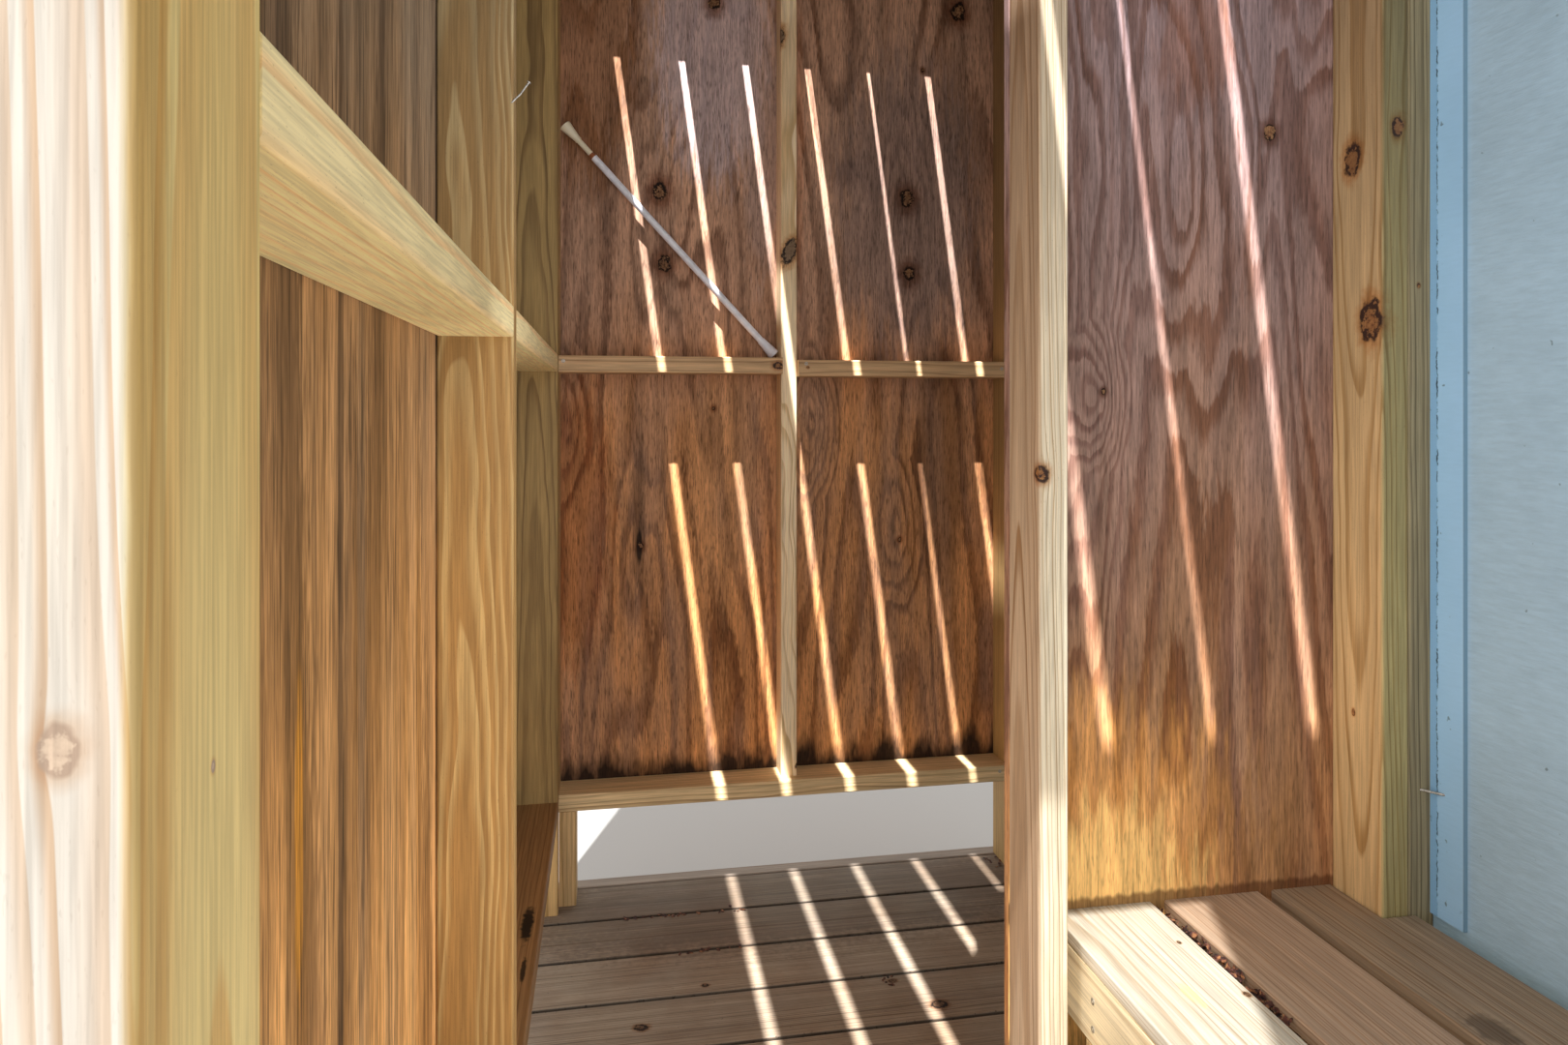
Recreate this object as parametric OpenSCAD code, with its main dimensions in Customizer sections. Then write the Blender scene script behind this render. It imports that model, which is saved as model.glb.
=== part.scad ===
// Stud-framed outdoor wash and changing cabin: a raised board deck, plywood-clad
// stud walls held clear of the deck on short legs, a partition with a board
// bench in front of it, a plain party wall and a slatted board cover.
// All sizes in millimetres. X runs along the back wall, Y from the open front to
// the back, Z up. The origin lies under the middle of the cabin, on the ground.

/* [Lumber] */
// Thickness of the framing lumber
stud_t = 38; // [30:1:50]
// Width of the framing lumber
stud_w = 89; // [70:1:100]
// Radius of the eased long edges of planed lumber
edge_r = 3; // [1:0.5:5]
// Thickness of the plywood sheathing
ply_t = 15; // [9:1:20]
// Width of the joint left between two plywood sheets
ply_joint = 3; // [1:0.5:6]
// Side of the square entrance posts
post_w = 89; // [70:1:120]

/* [Deck] */
// Width of one deck board
deck_board_w = 145; // [90:1:190]
// Thickness of the deck boards
deck_board_t = 38; // [22:1:45]
// Gap between two deck boards
deck_gap = 7; // [4:1:15]
// Number of deck boards from back to front
deck_board_count = 13; // [11:1:15]
// Thickness of the rim boards round the deck
rim_t = 38; // [25:1:45]
// How far the rim stands out past the plywood
rim_margin = 15; // [5:1:30]
// Side of the square sleepers under the deck
sleeper_w = 89; // [60:1:120]
// Number of sleepers
sleeper_count = 5; // [4:1:6]

/* [Walls] */
// Height of the clear gap between deck and wall plates
leg_h = 210; // [150:1:260]
// Height of the underside of the top plates above the deck
plate_underside = 2145; // [1900:5:2400]
// Height of the underside of the blocking above the deck
blocking_z = 1192; // [900:1:1400]
// How much lower the right blocking piece of the back wall sits
blocking_drop = 5; // [1:1:20]
// Clear gap between the end stud of the back wall and the stud on the party wall
end_stud_gap = 34; // [10:1:80]
// Distance from the corner to the centre stud of the back wall
centre_stud_x = 507; // [400:1:560]
// How far the centre stud of the back wall stands back from the sill's front
centre_stud_setback = 25; // [0:1:40]
// Distance of the middle stud of the left wall from the back wall
middle_stud_y = 963; // [800:1:1100]
// Clear width of the room from the left wall to the party wall
room_w = 1168; // [1165:1:1300]

/* [Partition] */
// Width of the partition, measured from the party wall
partition_w = 547; // [500:1:640]
// Distance from the back wall to the plywood of the partition
partition_y = 1015; // [950:1:1100]

/* [Bench] */
// Height of the seat above the deck
bench_h = 452; // [380:1:500]
// Width of one bench board
bench_board_w = 140; // [120:1:145]
// Thickness of the bench boards
bench_board_t = 19; // [16:1:38]
// Gap between two bench boards
bench_gap = 19; // [5:1:20]
// Gap between the last bench board and the party wall
bench_wall_gap = 29; // [10:1:60]
// Clearance of the bench board cut round the partition stud
notch_clearance = 3; // [1:0.5:6]

/* [Roof] */
// Distance between the middles of two gaps in the roof
slat_pitch = 152; // [120:1:160]
// Gap between two roof slats
slat_gap = 17; // [5:1:25]
// Width of the one gap that is narrower than the others
narrow_gap = 10; // [5:1:17]
// Which gap is the narrow one, counted from the left wall starting at zero
narrow_gap_index = 4; // [0:1:5]
// Number of open gaps, counted from the left wall
open_gap_count = 6; // [3:1:6]
// Width of the joint where slats are laid tight together
tight_gap = 1; // [0.5:0.5:2]
// Thickness of the roof slats
slat_t = 19; // [16:1:38]
// Distance from the left wall to the middle of the first gap
slat_start = 92; // [60:1:140]
// Distance from the back wall to the front ends of the slats
roof_front = 1752; // [1500:1:1800]

/* [Party wall] */
// Thickness of the painted siding
siding_t = 12; // [9:1:20]
// Width of the painted trim strip beside the partition
trim_w = 50; // [30:1:80]
// Thickness of the painted trim strip
trim_t = 6; // [3:0.5:12]
// Number of studs inside the party wall
party_stud_count = 5; // [4:1:6]

/* [Curtain rod] */
// Outer diameter of the wide tube of the rod
rod_d = 16; // [14:0.5:22]
// Outer diameter of the tube that slides out of it
rod_inner_d = 12.7; // [10:0.1:13]
// Length of the thin tube that shows, with the cap on its end
rod_inner_l = 93; // [60:1:300]
// Diameter of the flared end caps
rod_cap_d = 27; // [24:1:34]
// Length of a flared end cap
rod_cap_l = 46; // [30:1:55]
// Length of the straight rim at the tip of a cap
rod_cap_rim = 4; // [2:0.5:8]
// Width of the collar where a cap meets its tube
rod_collar = 6; // [3:0.5:10]
// How much the collar stands out from the tube all round
rod_collar_t = 1.5; // [0.5:0.1:3]
// Angle between the rod and an upright line
rod_lean = 43; // [38:0.5:48]
// Distance of the rod's axis from the plywood
rod_back_gap = 25; // [18:1:40]
// Clearance of the rod's caps from what they rest on
rod_seat = 0.3; // [0.1:0.1:1]

/* [Hidden] */
$fn = 48;

// Plan lines, measured from the inner corner of left wall and back wall
deck_pitch = deck_board_w + deck_gap;
outer_face = stud_w + ply_t;
deck_back_y = outer_face + rim_margin;
back_clear = room_w - 2 * stud_t - end_stud_gap;
boards_back_y = deck_back_y - rim_t - deck_gap;
boards_front_y = boards_back_y - deck_board_count * deck_pitch + deck_gap;
deck_front_y = boards_front_y - deck_gap - rim_t;
deck_left_x = -deck_back_y;
post_front_y = deck_front_y;
post_back_y = post_front_y + post_w;
right_post_x = room_w - post_w;

// Heights, measured from the top of the deck
ground_z = -(deck_board_t + sleeper_w);
plate_top = leg_h + stud_t;
wall_top = plate_underside + stud_t;
roof_top = wall_top + slat_t;

// Partition and bench lines
partition_x = room_w - partition_w;
partition_front_y = -partition_y - ply_t - stud_w;
partition_back_y = -partition_y - ply_t;
wall_studs_x = room_w - 2 * stud_t;
bench_board_count = 3;
bench_pitch = bench_board_w + bench_gap;
bench_left_x = room_w - bench_wall_gap - bench_board_count * bench_pitch + bench_gap;
rail_top = bench_h - bench_board_t;
rail_bottom = rail_top - stud_w;

// Party wall lines
party_stud_x = room_w + siding_t;
party_ply_x = party_stud_x + stud_w;
party_outer_x = party_ply_x + ply_t;
party_plate_top = ground_z + stud_t;
party_stud_top = roof_top - stud_t;
party_pitch = (deck_back_y - deck_front_y - stud_t) / (party_stud_count - 1);

// Middle of the cabin in plan
mid_x = (deck_left_x + party_outer_x) / 2;
mid_y = (deck_front_y + deck_back_y) / 2;

// How far a cut runs past the wood it is made in
cut = 1;

// Narrowest strip of board worth laying at the edge of the roof
slat_min = 3 * edge_r;

// Moves the cabin's own lines onto the origin under its middle
module placed() {
    translate([-mid_x, -mid_y, -ground_z])
        children();
}

// Section of planed lumber with eased corners
module lumber_section(a, b) {
    translate([edge_r, 0])
        square([a - 2 * edge_r, b]);
    translate([0, edge_r])
        square([a, b - 2 * edge_r]);
    for (x = [edge_r, a - edge_r], y = [edge_r, b - edge_r])
        translate([x, y])
            circle(r = edge_r);
}

// Lumber whose length runs along X, Y or Z, given by its low and high faces
module lumber_x(x, y, z) {
    translate([x[0], y[0], z[0]])
        rotate([90, 0, 90])
            linear_extrude(x[1] - x[0])
                lumber_section(y[1] - y[0], z[1] - z[0]);
}

module lumber_y(x, y, z) {
    translate([x[0], y[1], z[0]])
        rotate([90, 0, 0])
            linear_extrude(y[1] - y[0])
                lumber_section(x[1] - x[0], z[1] - z[0]);
}

module lumber_z(x, y, z) {
    translate([x[0], y[0], z[0]])
        linear_extrude(z[1] - z[0])
            lumber_section(x[1] - x[0], y[1] - y[0]);
}

// Sheet material with square edges
module sheet(x, y, z) {
    translate([x[0], y[0], z[0]])
        cube([x[1] - x[0], y[1] - y[0], z[1] - z[0]]);
}

// Deck
module deck_boards() {
    color("#A48C72")
        placed()
            for (i = [0 : deck_board_count - 1]) {
                back = boards_back_y - i * deck_pitch;
                lumber_x([deck_left_x + rim_t, room_w - rim_t], [back - deck_board_w, back],
                    [-deck_board_t, 0]);
            }
}

module deck_rim_front() {
    color("#9A8870")
        placed()
            lumber_x([deck_left_x, room_w], [deck_front_y, deck_front_y + rim_t], [ground_z, 0]);
}

module deck_rim_back() {
    color("#9A8870")
        placed()
            lumber_x([deck_left_x, room_w], [deck_back_y - rim_t, deck_back_y], [ground_z, 0]);
}

module deck_side_rim(x) {
    color("#9A8870")
        placed()
            lumber_y([x, x + rim_t], [deck_front_y + rim_t, deck_back_y - rim_t], [ground_z, 0]);
}

module deck_rim_left() {
    deck_side_rim(deck_left_x);
}

module deck_rim_right() {
    deck_side_rim(room_w - rim_t);
}

module deck_sleepers() {
    first = deck_left_x + rim_t;
    last = room_w - rim_t - sleeper_w;
    step = (last - first) / (sleeper_count - 1);
    color("#8E7B5E")
        placed()
            for (i = [0 : sleeper_count - 1])
                lumber_y([first + i * step, first + i * step + sleeper_w],
                    [deck_front_y + rim_t, deck_back_y - rim_t], [ground_z, -deck_board_t]);
}

// Entrance posts
module left_entrance_post() {
    color("#D8BE8C")
        placed()
            lumber_z([-post_w, 0], [post_front_y, post_back_y], [0, plate_underside]);
}

module right_entrance_post() {
    color("#D8BE8C")
        placed()
            lumber_z([right_post_x, room_w], [post_front_y, post_back_y], [0, wall_top]);
}

// Left wall
module left_bottom_plate() {
    color("#7E5A3A")
        placed()
            lumber_y([-stud_w, 0], [post_back_y, 0], [leg_h, plate_top]);
}

module left_legs() {
    color("#B89A68")
        placed()
            for (y = [-stud_t, -middle_stud_y - stud_t])
                lumber_z([-stud_w, 0], [y, y + stud_t], [0, leg_h]);
}

module left_corner_stud() {
    color("#A89060")
        placed()
            lumber_z([-stud_w, 0], [-stud_t, 0], [plate_top, plate_underside]);
}

module left_middle_stud() {
    color("#C79A5B")
        placed()
            lumber_z([-stud_w, 0], [-middle_stud_y - stud_t, -middle_stud_y],
                [plate_top, plate_underside]);
}

module left_blocking() {
    color("#E3BE78")
        placed()
            for (y = [[post_back_y, -middle_stud_y - stud_t], [-middle_stud_y, -stud_t]])
                lumber_y([-stud_w, 0], y, [blocking_z, blocking_z + stud_t]);
}

module left_top_plate() {
    color("#C9A86A")
        placed()
            lumber_y([-stud_w, 0], [post_front_y, 0], [plate_underside, wall_top]);
}

module left_sheathing_front() {
    color("#9B6B3C")
        placed()
            sheet([-outer_face, -stud_w],
                [post_front_y, -middle_stud_y - (stud_t + ply_joint) / 2], [leg_h, wall_top]);
}

module left_sheathing_back() {
    color("#9B6B3C")
        placed()
            sheet([-outer_face, -stud_w],
                [-middle_stud_y - (stud_t - ply_joint) / 2, outer_face], [leg_h, wall_top]);
}

// Back wall
module back_sill() {
    color("#C9A06A")
        placed()
            lumber_x([-stud_w, back_clear], [0, stud_w], [leg_h, plate_top]);
}

module back_leg() {
    color("#B89A68")
        placed()
            lumber_z([0, stud_t], [0, stud_w], [0, leg_h]);
}

module back_corner_stud() {
    color("#C09A60")
        placed()
            lumber_z([-stud_t, 0], [0, stud_w], [plate_top, plate_underside]);
}

module back_centre_stud() {
    color("#D0A868")
        placed()
            lumber_z([centre_stud_x, centre_stud_x + stud_t], [centre_stud_setback, stud_w],
                [plate_top, plate_underside]);
}

module back_end_stud() {
    color("#BE9A62")
        placed()
            lumber_z([back_clear, back_clear + stud_t], [0, stud_w], [0, plate_underside]);
}

module back_wall_stud() {
    color("#BE9A62")
        placed()
            lumber_z([room_w - stud_t, room_w], [0, stud_w], [0, plate_underside]);
}

module back_blocking() {
    low = blocking_z - blocking_drop;
    color("#D6B074")
        placed() {
            lumber_x([0, centre_stud_x], [0, stud_w], [blocking_z, blocking_z + stud_t]);
            lumber_x([centre_stud_x + stud_t, back_clear], [0, stud_w], [low, low + stud_t]);
        }
}

module back_top_plate() {
    color("#C9A86A")
        placed()
            lumber_x([-stud_w, room_w], [0, stud_w], [plate_underside, wall_top]);
}

module back_sheathing() {
    color("#8A5F3F")
        placed()
            sheet([-stud_w, back_clear + (stud_t - ply_joint) / 2], [stud_w, outer_face],
                [leg_h, wall_top]);
}

module back_filler_strip() {
    color("#8A5F3F")
        placed()
            sheet([back_clear + (stud_t + ply_joint) / 2, room_w], [stud_w, outer_face],
                [leg_h, wall_top]);
}

// Partition between the changing space and the wash bay
module partition_end_stud() {
    color("#CFAE78")
        placed()
            lumber_z([partition_x, partition_x + stud_t], [partition_front_y, partition_back_y],
                [0, plate_underside]);
}

module partition_side_stud(x) {
    color("#B99A60")
        placed()
            lumber_z([x, x + stud_t], [partition_front_y, partition_back_y], [0, plate_underside]);
}

module partition_inner_stud() {
    partition_side_stud(wall_studs_x);
}

module partition_wall_stud() {
    partition_side_stud(wall_studs_x + stud_t);
}

module partition_bottom_plate() {
    color("#B0905C")
        placed()
            lumber_x([partition_x + stud_t, wall_studs_x], [partition_front_y, partition_back_y],
                [leg_h, plate_top]);
}

module partition_top_plate() {
    color("#C9A86A")
        placed()
            lumber_x([partition_x, room_w], [partition_front_y, partition_back_y],
                [plate_underside, wall_top]);
}

module partition_sheathing() {
    color("#A87C66")
        placed()
            sheet([partition_x, room_w], [partition_back_y, -partition_y], [leg_h, wall_top]);
}

// Bench along the party wall
module bench_boards() {
    color("#E8D3A8")
        placed()
            difference() {
                for (i = [0 : bench_board_count - 1])
                    lumber_y([bench_left_x + i * bench_pitch,
                            bench_left_x + i * bench_pitch + bench_board_w],
                        [post_back_y, partition_back_y], [rail_top, bench_h]);
                sheet([wall_studs_x - notch_clearance, room_w],
                    [partition_front_y - notch_clearance, partition_back_y + cut],
                    [rail_top - cut, bench_h + cut]);
            }
}

module bench_rails() {
    color("#C8AA78")
        placed() {
            lumber_y([bench_left_x, bench_left_x + stud_t], [post_back_y, partition_back_y],
                [rail_bottom, rail_top]);
            lumber_y([room_w - stud_t, room_w], [post_back_y, partition_front_y],
                [rail_bottom, rail_top]);
        }
}

module bench_bearers() {
    color("#C0A470")
        placed() {
            lumber_x([bench_left_x + stud_t, room_w - stud_t], [post_back_y, post_back_y + stud_t],
                [rail_bottom, rail_top]);
            lumber_x([bench_left_x + stud_t, wall_studs_x],
                [partition_back_y - stud_t, partition_back_y], [rail_bottom, rail_top]);
        }
}

module bench_legs() {
    color("#BFA26C")
        placed()
            for (y = [post_back_y, partition_front_y - stud_w])
                lumber_z([bench_left_x, bench_left_x + stud_t], [y, y + stud_w], [0, rail_bottom]);
}

// Slatted board cover
function gap_width(i) =
    i >= open_gap_count ? tight_gap
    : i == narrow_gap_index ? narrow_gap
    : slat_gap;

module roof_slats() {
    color("#B79A70")
        placed()
            for (i = [-1 : ceil((room_w - slat_start) / slat_pitch)]) {
                from = max(-outer_face, slat_start + (i - 1) * slat_pitch + gap_width(i - 1) / 2);
                to = min(room_w, slat_start + i * slat_pitch - gap_width(i) / 2);
                if (to - from > slat_min)
                    lumber_y([from, to], [-roof_front, outer_face], [wall_top, roof_top]);
            }
}

module roof_front_rafter() {
    color("#C9A86A")
        placed()
            lumber_x([0, room_w], [-roof_front, -roof_front + stud_w],
                [plate_underside, wall_top]);
}

// Party wall
module party_siding() {
    color("#93A9B3")
        placed()
            sheet([room_w, party_stud_x], [deck_front_y, deck_back_y], [ground_z, roof_top]);
}

module party_trim() {
    color("#8EBBD3")
        placed()
            sheet([room_w - trim_t, room_w], [partition_front_y - trim_w, partition_front_y],
                [bench_h, plate_underside]);
}

module party_studs() {
    color("#BE9A62")
        placed()
            for (i = [0 : party_stud_count - 1])
                lumber_z([party_stud_x, party_ply_x],
                    [deck_front_y + i * party_pitch, deck_front_y + i * party_pitch + stud_t],
                    [party_plate_top, party_stud_top]);
}

module party_bottom_plate() {
    color("#A88A58")
        placed()
            lumber_y([party_stud_x, party_ply_x], [deck_front_y, deck_back_y],
                [ground_z, party_plate_top]);
}

module party_top_plate() {
    color("#C9A86A")
        placed()
            lumber_y([party_stud_x, party_ply_x], [deck_front_y, deck_back_y],
                [party_stud_top, roof_top]);
}

module party_sheathing() {
    color("#8A5F3F")
        placed()
            sheet([party_ply_x, party_outer_x], [deck_front_y, deck_back_y],
                [ground_z, roof_top]);
}

// Half section of the curtain rod about its axis, from the foot up to the head
module rod_section(length) {
    r = rod_d / 2;
    thin_r = rod_inner_d / 2;
    cap_r = rod_cap_d / 2;
    joint = length - rod_inner_l;
    collar_low = rod_cap_l - rod_collar;
    collar_high = length - rod_cap_l;
    polygon([
        [0, 0],
        [cap_r, 0],
        [cap_r, rod_cap_rim],
        [r + rod_collar_t, collar_low],
        [r + rod_collar_t, rod_cap_l],
        [r, rod_cap_l],
        [r, joint],
        [thin_r, joint],
        [thin_r, collar_high],
        [thin_r + rod_collar_t, collar_high],
        [thin_r + rod_collar_t, collar_high + rod_collar],
        [cap_r, length - rod_cap_rim],
        [cap_r, length],
        [0, length]
    ]);
}

// Telescoping curtain rod wedged across the left bay of the back wall: its foot
// rests on the blocking against the centre stud, its head leans on the left wall
module curtain_rod() {
    half_x = rod_cap_d / 2 * cos(rod_lean);
    half_z = rod_cap_d / 2 * sin(rod_lean);
    foot_x = centre_stud_x - half_x - rod_seat;
    foot_z = blocking_z + stud_t + half_z + rod_seat;
    head_x = half_x + rod_seat;
    color("#E8E6E4")
        placed()
            translate([foot_x, stud_w - rod_back_gap, foot_z])
                rotate([0, -rod_lean, 0])
                    rotate_extrude()
                        rod_section((foot_x - head_x) / sin(rod_lean));
}

deck_boards();
deck_rim_front();
deck_rim_back();
deck_rim_left();
deck_rim_right();
deck_sleepers();
left_entrance_post();
right_entrance_post();
left_legs();
left_bottom_plate();
left_corner_stud();
left_middle_stud();
left_blocking();
left_top_plate();
left_sheathing_front();
left_sheathing_back();
back_leg();
back_sill();
back_corner_stud();
back_centre_stud();
back_end_stud();
back_wall_stud();
back_blocking();
back_top_plate();
back_sheathing();
back_filler_strip();
partition_end_stud();
partition_inner_stud();
partition_wall_stud();
partition_bottom_plate();
partition_top_plate();
partition_sheathing();
bench_boards();
bench_rails();
bench_bearers();
bench_legs();
roof_slats();
roof_front_rafter();
party_siding();
party_trim();
party_studs();
party_bottom_plate();
party_top_plate();
party_sheathing();
curtain_rod();
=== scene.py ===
import math
import random

import bmesh
import bpy
from mathutils import Euler, Matrix, Vector


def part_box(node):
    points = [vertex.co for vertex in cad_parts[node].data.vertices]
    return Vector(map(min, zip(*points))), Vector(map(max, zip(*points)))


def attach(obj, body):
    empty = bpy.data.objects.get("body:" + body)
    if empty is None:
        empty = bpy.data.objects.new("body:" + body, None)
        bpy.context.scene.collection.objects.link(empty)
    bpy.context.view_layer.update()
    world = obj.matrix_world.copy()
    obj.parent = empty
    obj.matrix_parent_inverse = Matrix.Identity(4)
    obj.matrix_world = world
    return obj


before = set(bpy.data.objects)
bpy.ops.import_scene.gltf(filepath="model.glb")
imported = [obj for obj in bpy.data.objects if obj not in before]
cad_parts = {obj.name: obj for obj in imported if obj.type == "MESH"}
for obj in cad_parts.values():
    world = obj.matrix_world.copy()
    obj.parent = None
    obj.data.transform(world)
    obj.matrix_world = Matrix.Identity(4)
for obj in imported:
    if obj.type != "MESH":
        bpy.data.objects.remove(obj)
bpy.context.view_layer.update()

# Camera: it stands just outside the open front at chest height, level and turned
# a little to the right, with its frame shifted down towards the deck.
CAMERA_PLACE = (-0.4655, -1.2945, 1.226)
CAMERA_TURN = math.radians(-10.1)
SENSOR_WIDTH = 36
FOCAL_LENGTH = 22.16
FRAME_SHIFT = -0.0693
CLIP_START = 0.02

camera = bpy.data.objects.new("camera", bpy.data.cameras.new("camera"))
camera.location = CAMERA_PLACE
camera.rotation_euler = (math.pi / 2, 0, CAMERA_TURN)
camera.data.sensor_width = SENSOR_WIDTH
camera.data.lens = FOCAL_LENGTH
camera.data.shift_y = FRAME_SHIFT
camera.data.clip_start = CLIP_START
bpy.context.collection.objects.link(camera)
bpy.context.scene.camera = camera

# Light: a high sun from the front left shines through the gaps of the board cover,
# and an even pale surrounding fills the shade softly. Two more suns on the same line
# add to the stripes inside, and two shades that only the suns see hold them back.
SUN_TRAVEL = Vector((0.138, 0.418, -1))
SUN_ANGLE = math.radians(0.53)
FAR_FACES = (
    "back_sheathing", "back_filler_strip", "partition_sheathing", "back_blocking", "back_sill",
)
STRIPED_PIECES = (
    "deck_boards", "back_sheathing", "back_filler_strip", "back_centre_stud", "back_end_stud",
    "back_blocking", "back_sill", "partition_sheathing", "partition_end_stud",
    "partition_inner_stud", "partition_wall_stud", "curtain_rod",
)
SUNS = {
    "sun": {"power": 5.0, "lights": ()},
    "stripe_sun": {"power": 12.0, "lights": STRIPED_PIECES},
    "veneer_sun": {"power": 10.0, "lights": FAR_FACES},
}
SHADE_HEIGHT = 2.335
SHADE_OUTLINES = {
    "side_shade": [(0.07, -0.86), (0.329, -0.86), (0.329, -0.8415), (0.8, -0.8415),
                   (0.8, -2.1), (-0.41, -2.1)],
    "front_shade": [(-1.2, -0.86), (0.8, -0.86), (0.8, -2.2), (-1.2, -2.2)],
}
SOFT_LAMPS = {
    "bay_lamp": {"place": (-0.25, -0.34, 1.28), "turn": (math.pi / 2, 0, 0),
                 "size": (0.3, 1.7), "power": 4.2},
    "bench_lamp": {"place": (0.07, -0.55, 1.35), "turn": (math.pi / 2, 0, -math.pi / 2),
                   "size": (1.0, 1.6), "power": 3.7},
    "entry_lamp": {"place": (-0.2, -0.6, 0.75), "turn": (math.pi / 2, 0, math.pi / 2),
                   "size": (1.0, 0.9), "power": 1.7},
}
FILL_STRENGTH = 0.8
BACKDROP_COLOUR = "#FFFFFF"

suns = {}
for lamp_name, lamp in SUNS.items():
    sun = bpy.data.objects.new(lamp_name, bpy.data.lights.new(lamp_name, "SUN"))
    sun.rotation_euler = SUN_TRAVEL.to_track_quat("-Z", "Y").to_euler()
    sun.data.energy = lamp["power"]
    sun.data.angle = SUN_ANGLE
    bpy.context.collection.objects.link(sun)
    if lamp["lights"]:
        lit = bpy.data.collections.new(lamp_name + "_lights")
        for node in lamp["lights"]:
            lit.objects.link(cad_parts[node])
        sun.light_linking.receiver_collection = lit
    suns[lamp_name] = sun
shades = {}
for shade_name, outline in SHADE_OUTLINES.items():
    sheet = bmesh.new()
    corners = [sheet.verts.new((x, y, SHADE_HEIGHT)) for x, y in outline]
    bmesh.ops.contextual_create(sheet, geom=corners)
    shade_mesh = bpy.data.meshes.new(shade_name)
    sheet.to_mesh(shade_mesh)
    sheet.free()
    shade = bpy.data.objects.new(shade_name, shade_mesh)
    for ray in ("camera", "diffuse", "glossy", "transmission"):
        setattr(shade, "visible_" + ray, False)
    bpy.context.collection.objects.link(shade)
    shades[shade_name] = shade
passed = bpy.data.collections.new("front_shade_passes_the_sun")
passed.objects.link(shades["front_shade"])
passed.collection_objects[0].light_linking.link_state = "EXCLUDE"
suns["sun"].light_linking.blocker_collection = passed
for lamp_name, lamp in SOFT_LAMPS.items():
    soft = bpy.data.objects.new(lamp_name, bpy.data.lights.new(lamp_name, "AREA"))
    soft.location = lamp["place"]
    soft.rotation_euler = lamp["turn"]
    soft.data.shape = "RECTANGLE"
    soft.data.size, soft.data.size_y = lamp["size"]
    soft.data.energy = lamp["power"]
    soft.visible_camera = False
    bpy.context.collection.objects.link(soft)
bpy.context.scene.view_settings.view_transform = "Standard"


def linear(colour):
    """An sRGB hex colour as linear red, green, blue and alpha."""
    parts = [int(colour[i:i + 2], 16) / 255 for i in (1, 3, 5)]
    return [c / 12.92 if c <= 0.04045 else ((c + 0.055) / 1.055) ** 2.4 for c in parts] + [1]


def add(tree, kind, inputs, out=0, stops=(), **settings):
    """Adds a shader node: an input that is a socket is linked, any other is set."""
    made = tree.nodes.new("ShaderNode" + kind)
    for name, value in settings.items():
        setattr(made, name, value)
    for key, value in inputs.items():
        if isinstance(value, bpy.types.NodeSocket):
            tree.links.new(value, made.inputs[key])
        else:
            made.inputs[key].default_value = value
    for i, (place, colour) in enumerate(stops):
        band = made.color_ramp.elements
        stop = band[i] if i < 2 else band.new(place)
        stop.position = place
        stop.color = linear(colour)
    return made.outputs[out] if made.outputs else made


world = bpy.data.worlds.new("surrounding")
world.use_nodes = True
world.cycles.sampling_method = "NONE"
bpy.context.scene.world = world
sky = world.node_tree
sky.nodes.clear()
seen = add(sky, "LightPath", {}, out="Is Camera Ray")
mirrored = add(sky, "LightPath", {}, out="Is Glossy Ray")
through = add(sky, "LightPath", {}, out="Is Transmission Ray")
shown = add(sky, "Math", {0: seen, 1: mirrored}, operation="MAXIMUM")
shown = add(sky, "Math", {0: shown, 1: through}, operation="MAXIMUM")
strength = add(sky, "MapRange", {"Value": shown, "To Min": FILL_STRENGTH, "To Max": 1.0})
backdrop = add(sky, "Background", {"Color": linear(BACKDROP_COLOUR), "Strength": strength})
add(sky, "OutputWorld", {"Surface": backdrop})

# Floor: plain pale ground under the cabin, smooth and dull, which shows nothing of
# its own and keeps the cabin's shadow.
FLOOR_SIZE = 30.0
FLOOR_COLOUR = "#CCCAC6"
FLOOR_ROUGHNESS = 0.9

floor_shape = bmesh.new()
bmesh.ops.create_grid(floor_shape, x_segments=1, y_segments=1, size=FLOOR_SIZE / 2)
floor_mesh = bpy.data.meshes.new("floor")
floor_shape.to_mesh(floor_mesh)
floor_shape.free()
floor = bpy.data.objects.new("floor", floor_mesh)
bpy.context.collection.objects.link(floor)
floor_paint = bpy.data.materials.new("plain_floor")
floor_paint.use_nodes = True
shader = floor_paint.node_tree.nodes["Principled BSDF"]
shader.inputs["Base Color"].default_value = linear(FLOOR_COLOUR)
shader.inputs["Roughness"].default_value = FLOOR_ROUGHNESS
floor_mesh.materials.append(floor_paint)

# Entrance posts: square posts of treated southern pine, sawn and planed and nailed to the
# walls' plates. Their front faces are paler and their other faces yellower: partly sun
# bleaching, and partly painted light, the sunlit front against the shaded sides. The
# left one has a small knot.
MM = 0.001
TALLEST = 2.4
# For grain along each axis: how it turns a log, shortens the way to a knot, draws fibres
# out and leads them sideways round a knot.
GRAIN_TURN = {
    "x": Euler((0, -math.pi / 2, 0)),
    "y": Euler((math.pi / 2, 0, 0)),
    "z": Euler((0, 0, 0)),
}
SHORTENED = {"x": (0.4, 1, 1), "y": (1, 0.4, 1), "z": (1, 1, 0.4)}
THREAD = {"x": (0.03, 1, 1), "y": (1, 0.03, 1), "z": (1, 1, 0.03)}
SIDEWAYS = {"x": (0, -1, -1), "y": (-1, 0, -1), "z": (-1, -1, 0)}
UNEVEN_YEARS = 2.2
KNOT_RAGGED = 1.5
FACE_DEPTH = 4 * MM
FLECK_COLOUR = "#6E4C30"
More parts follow.
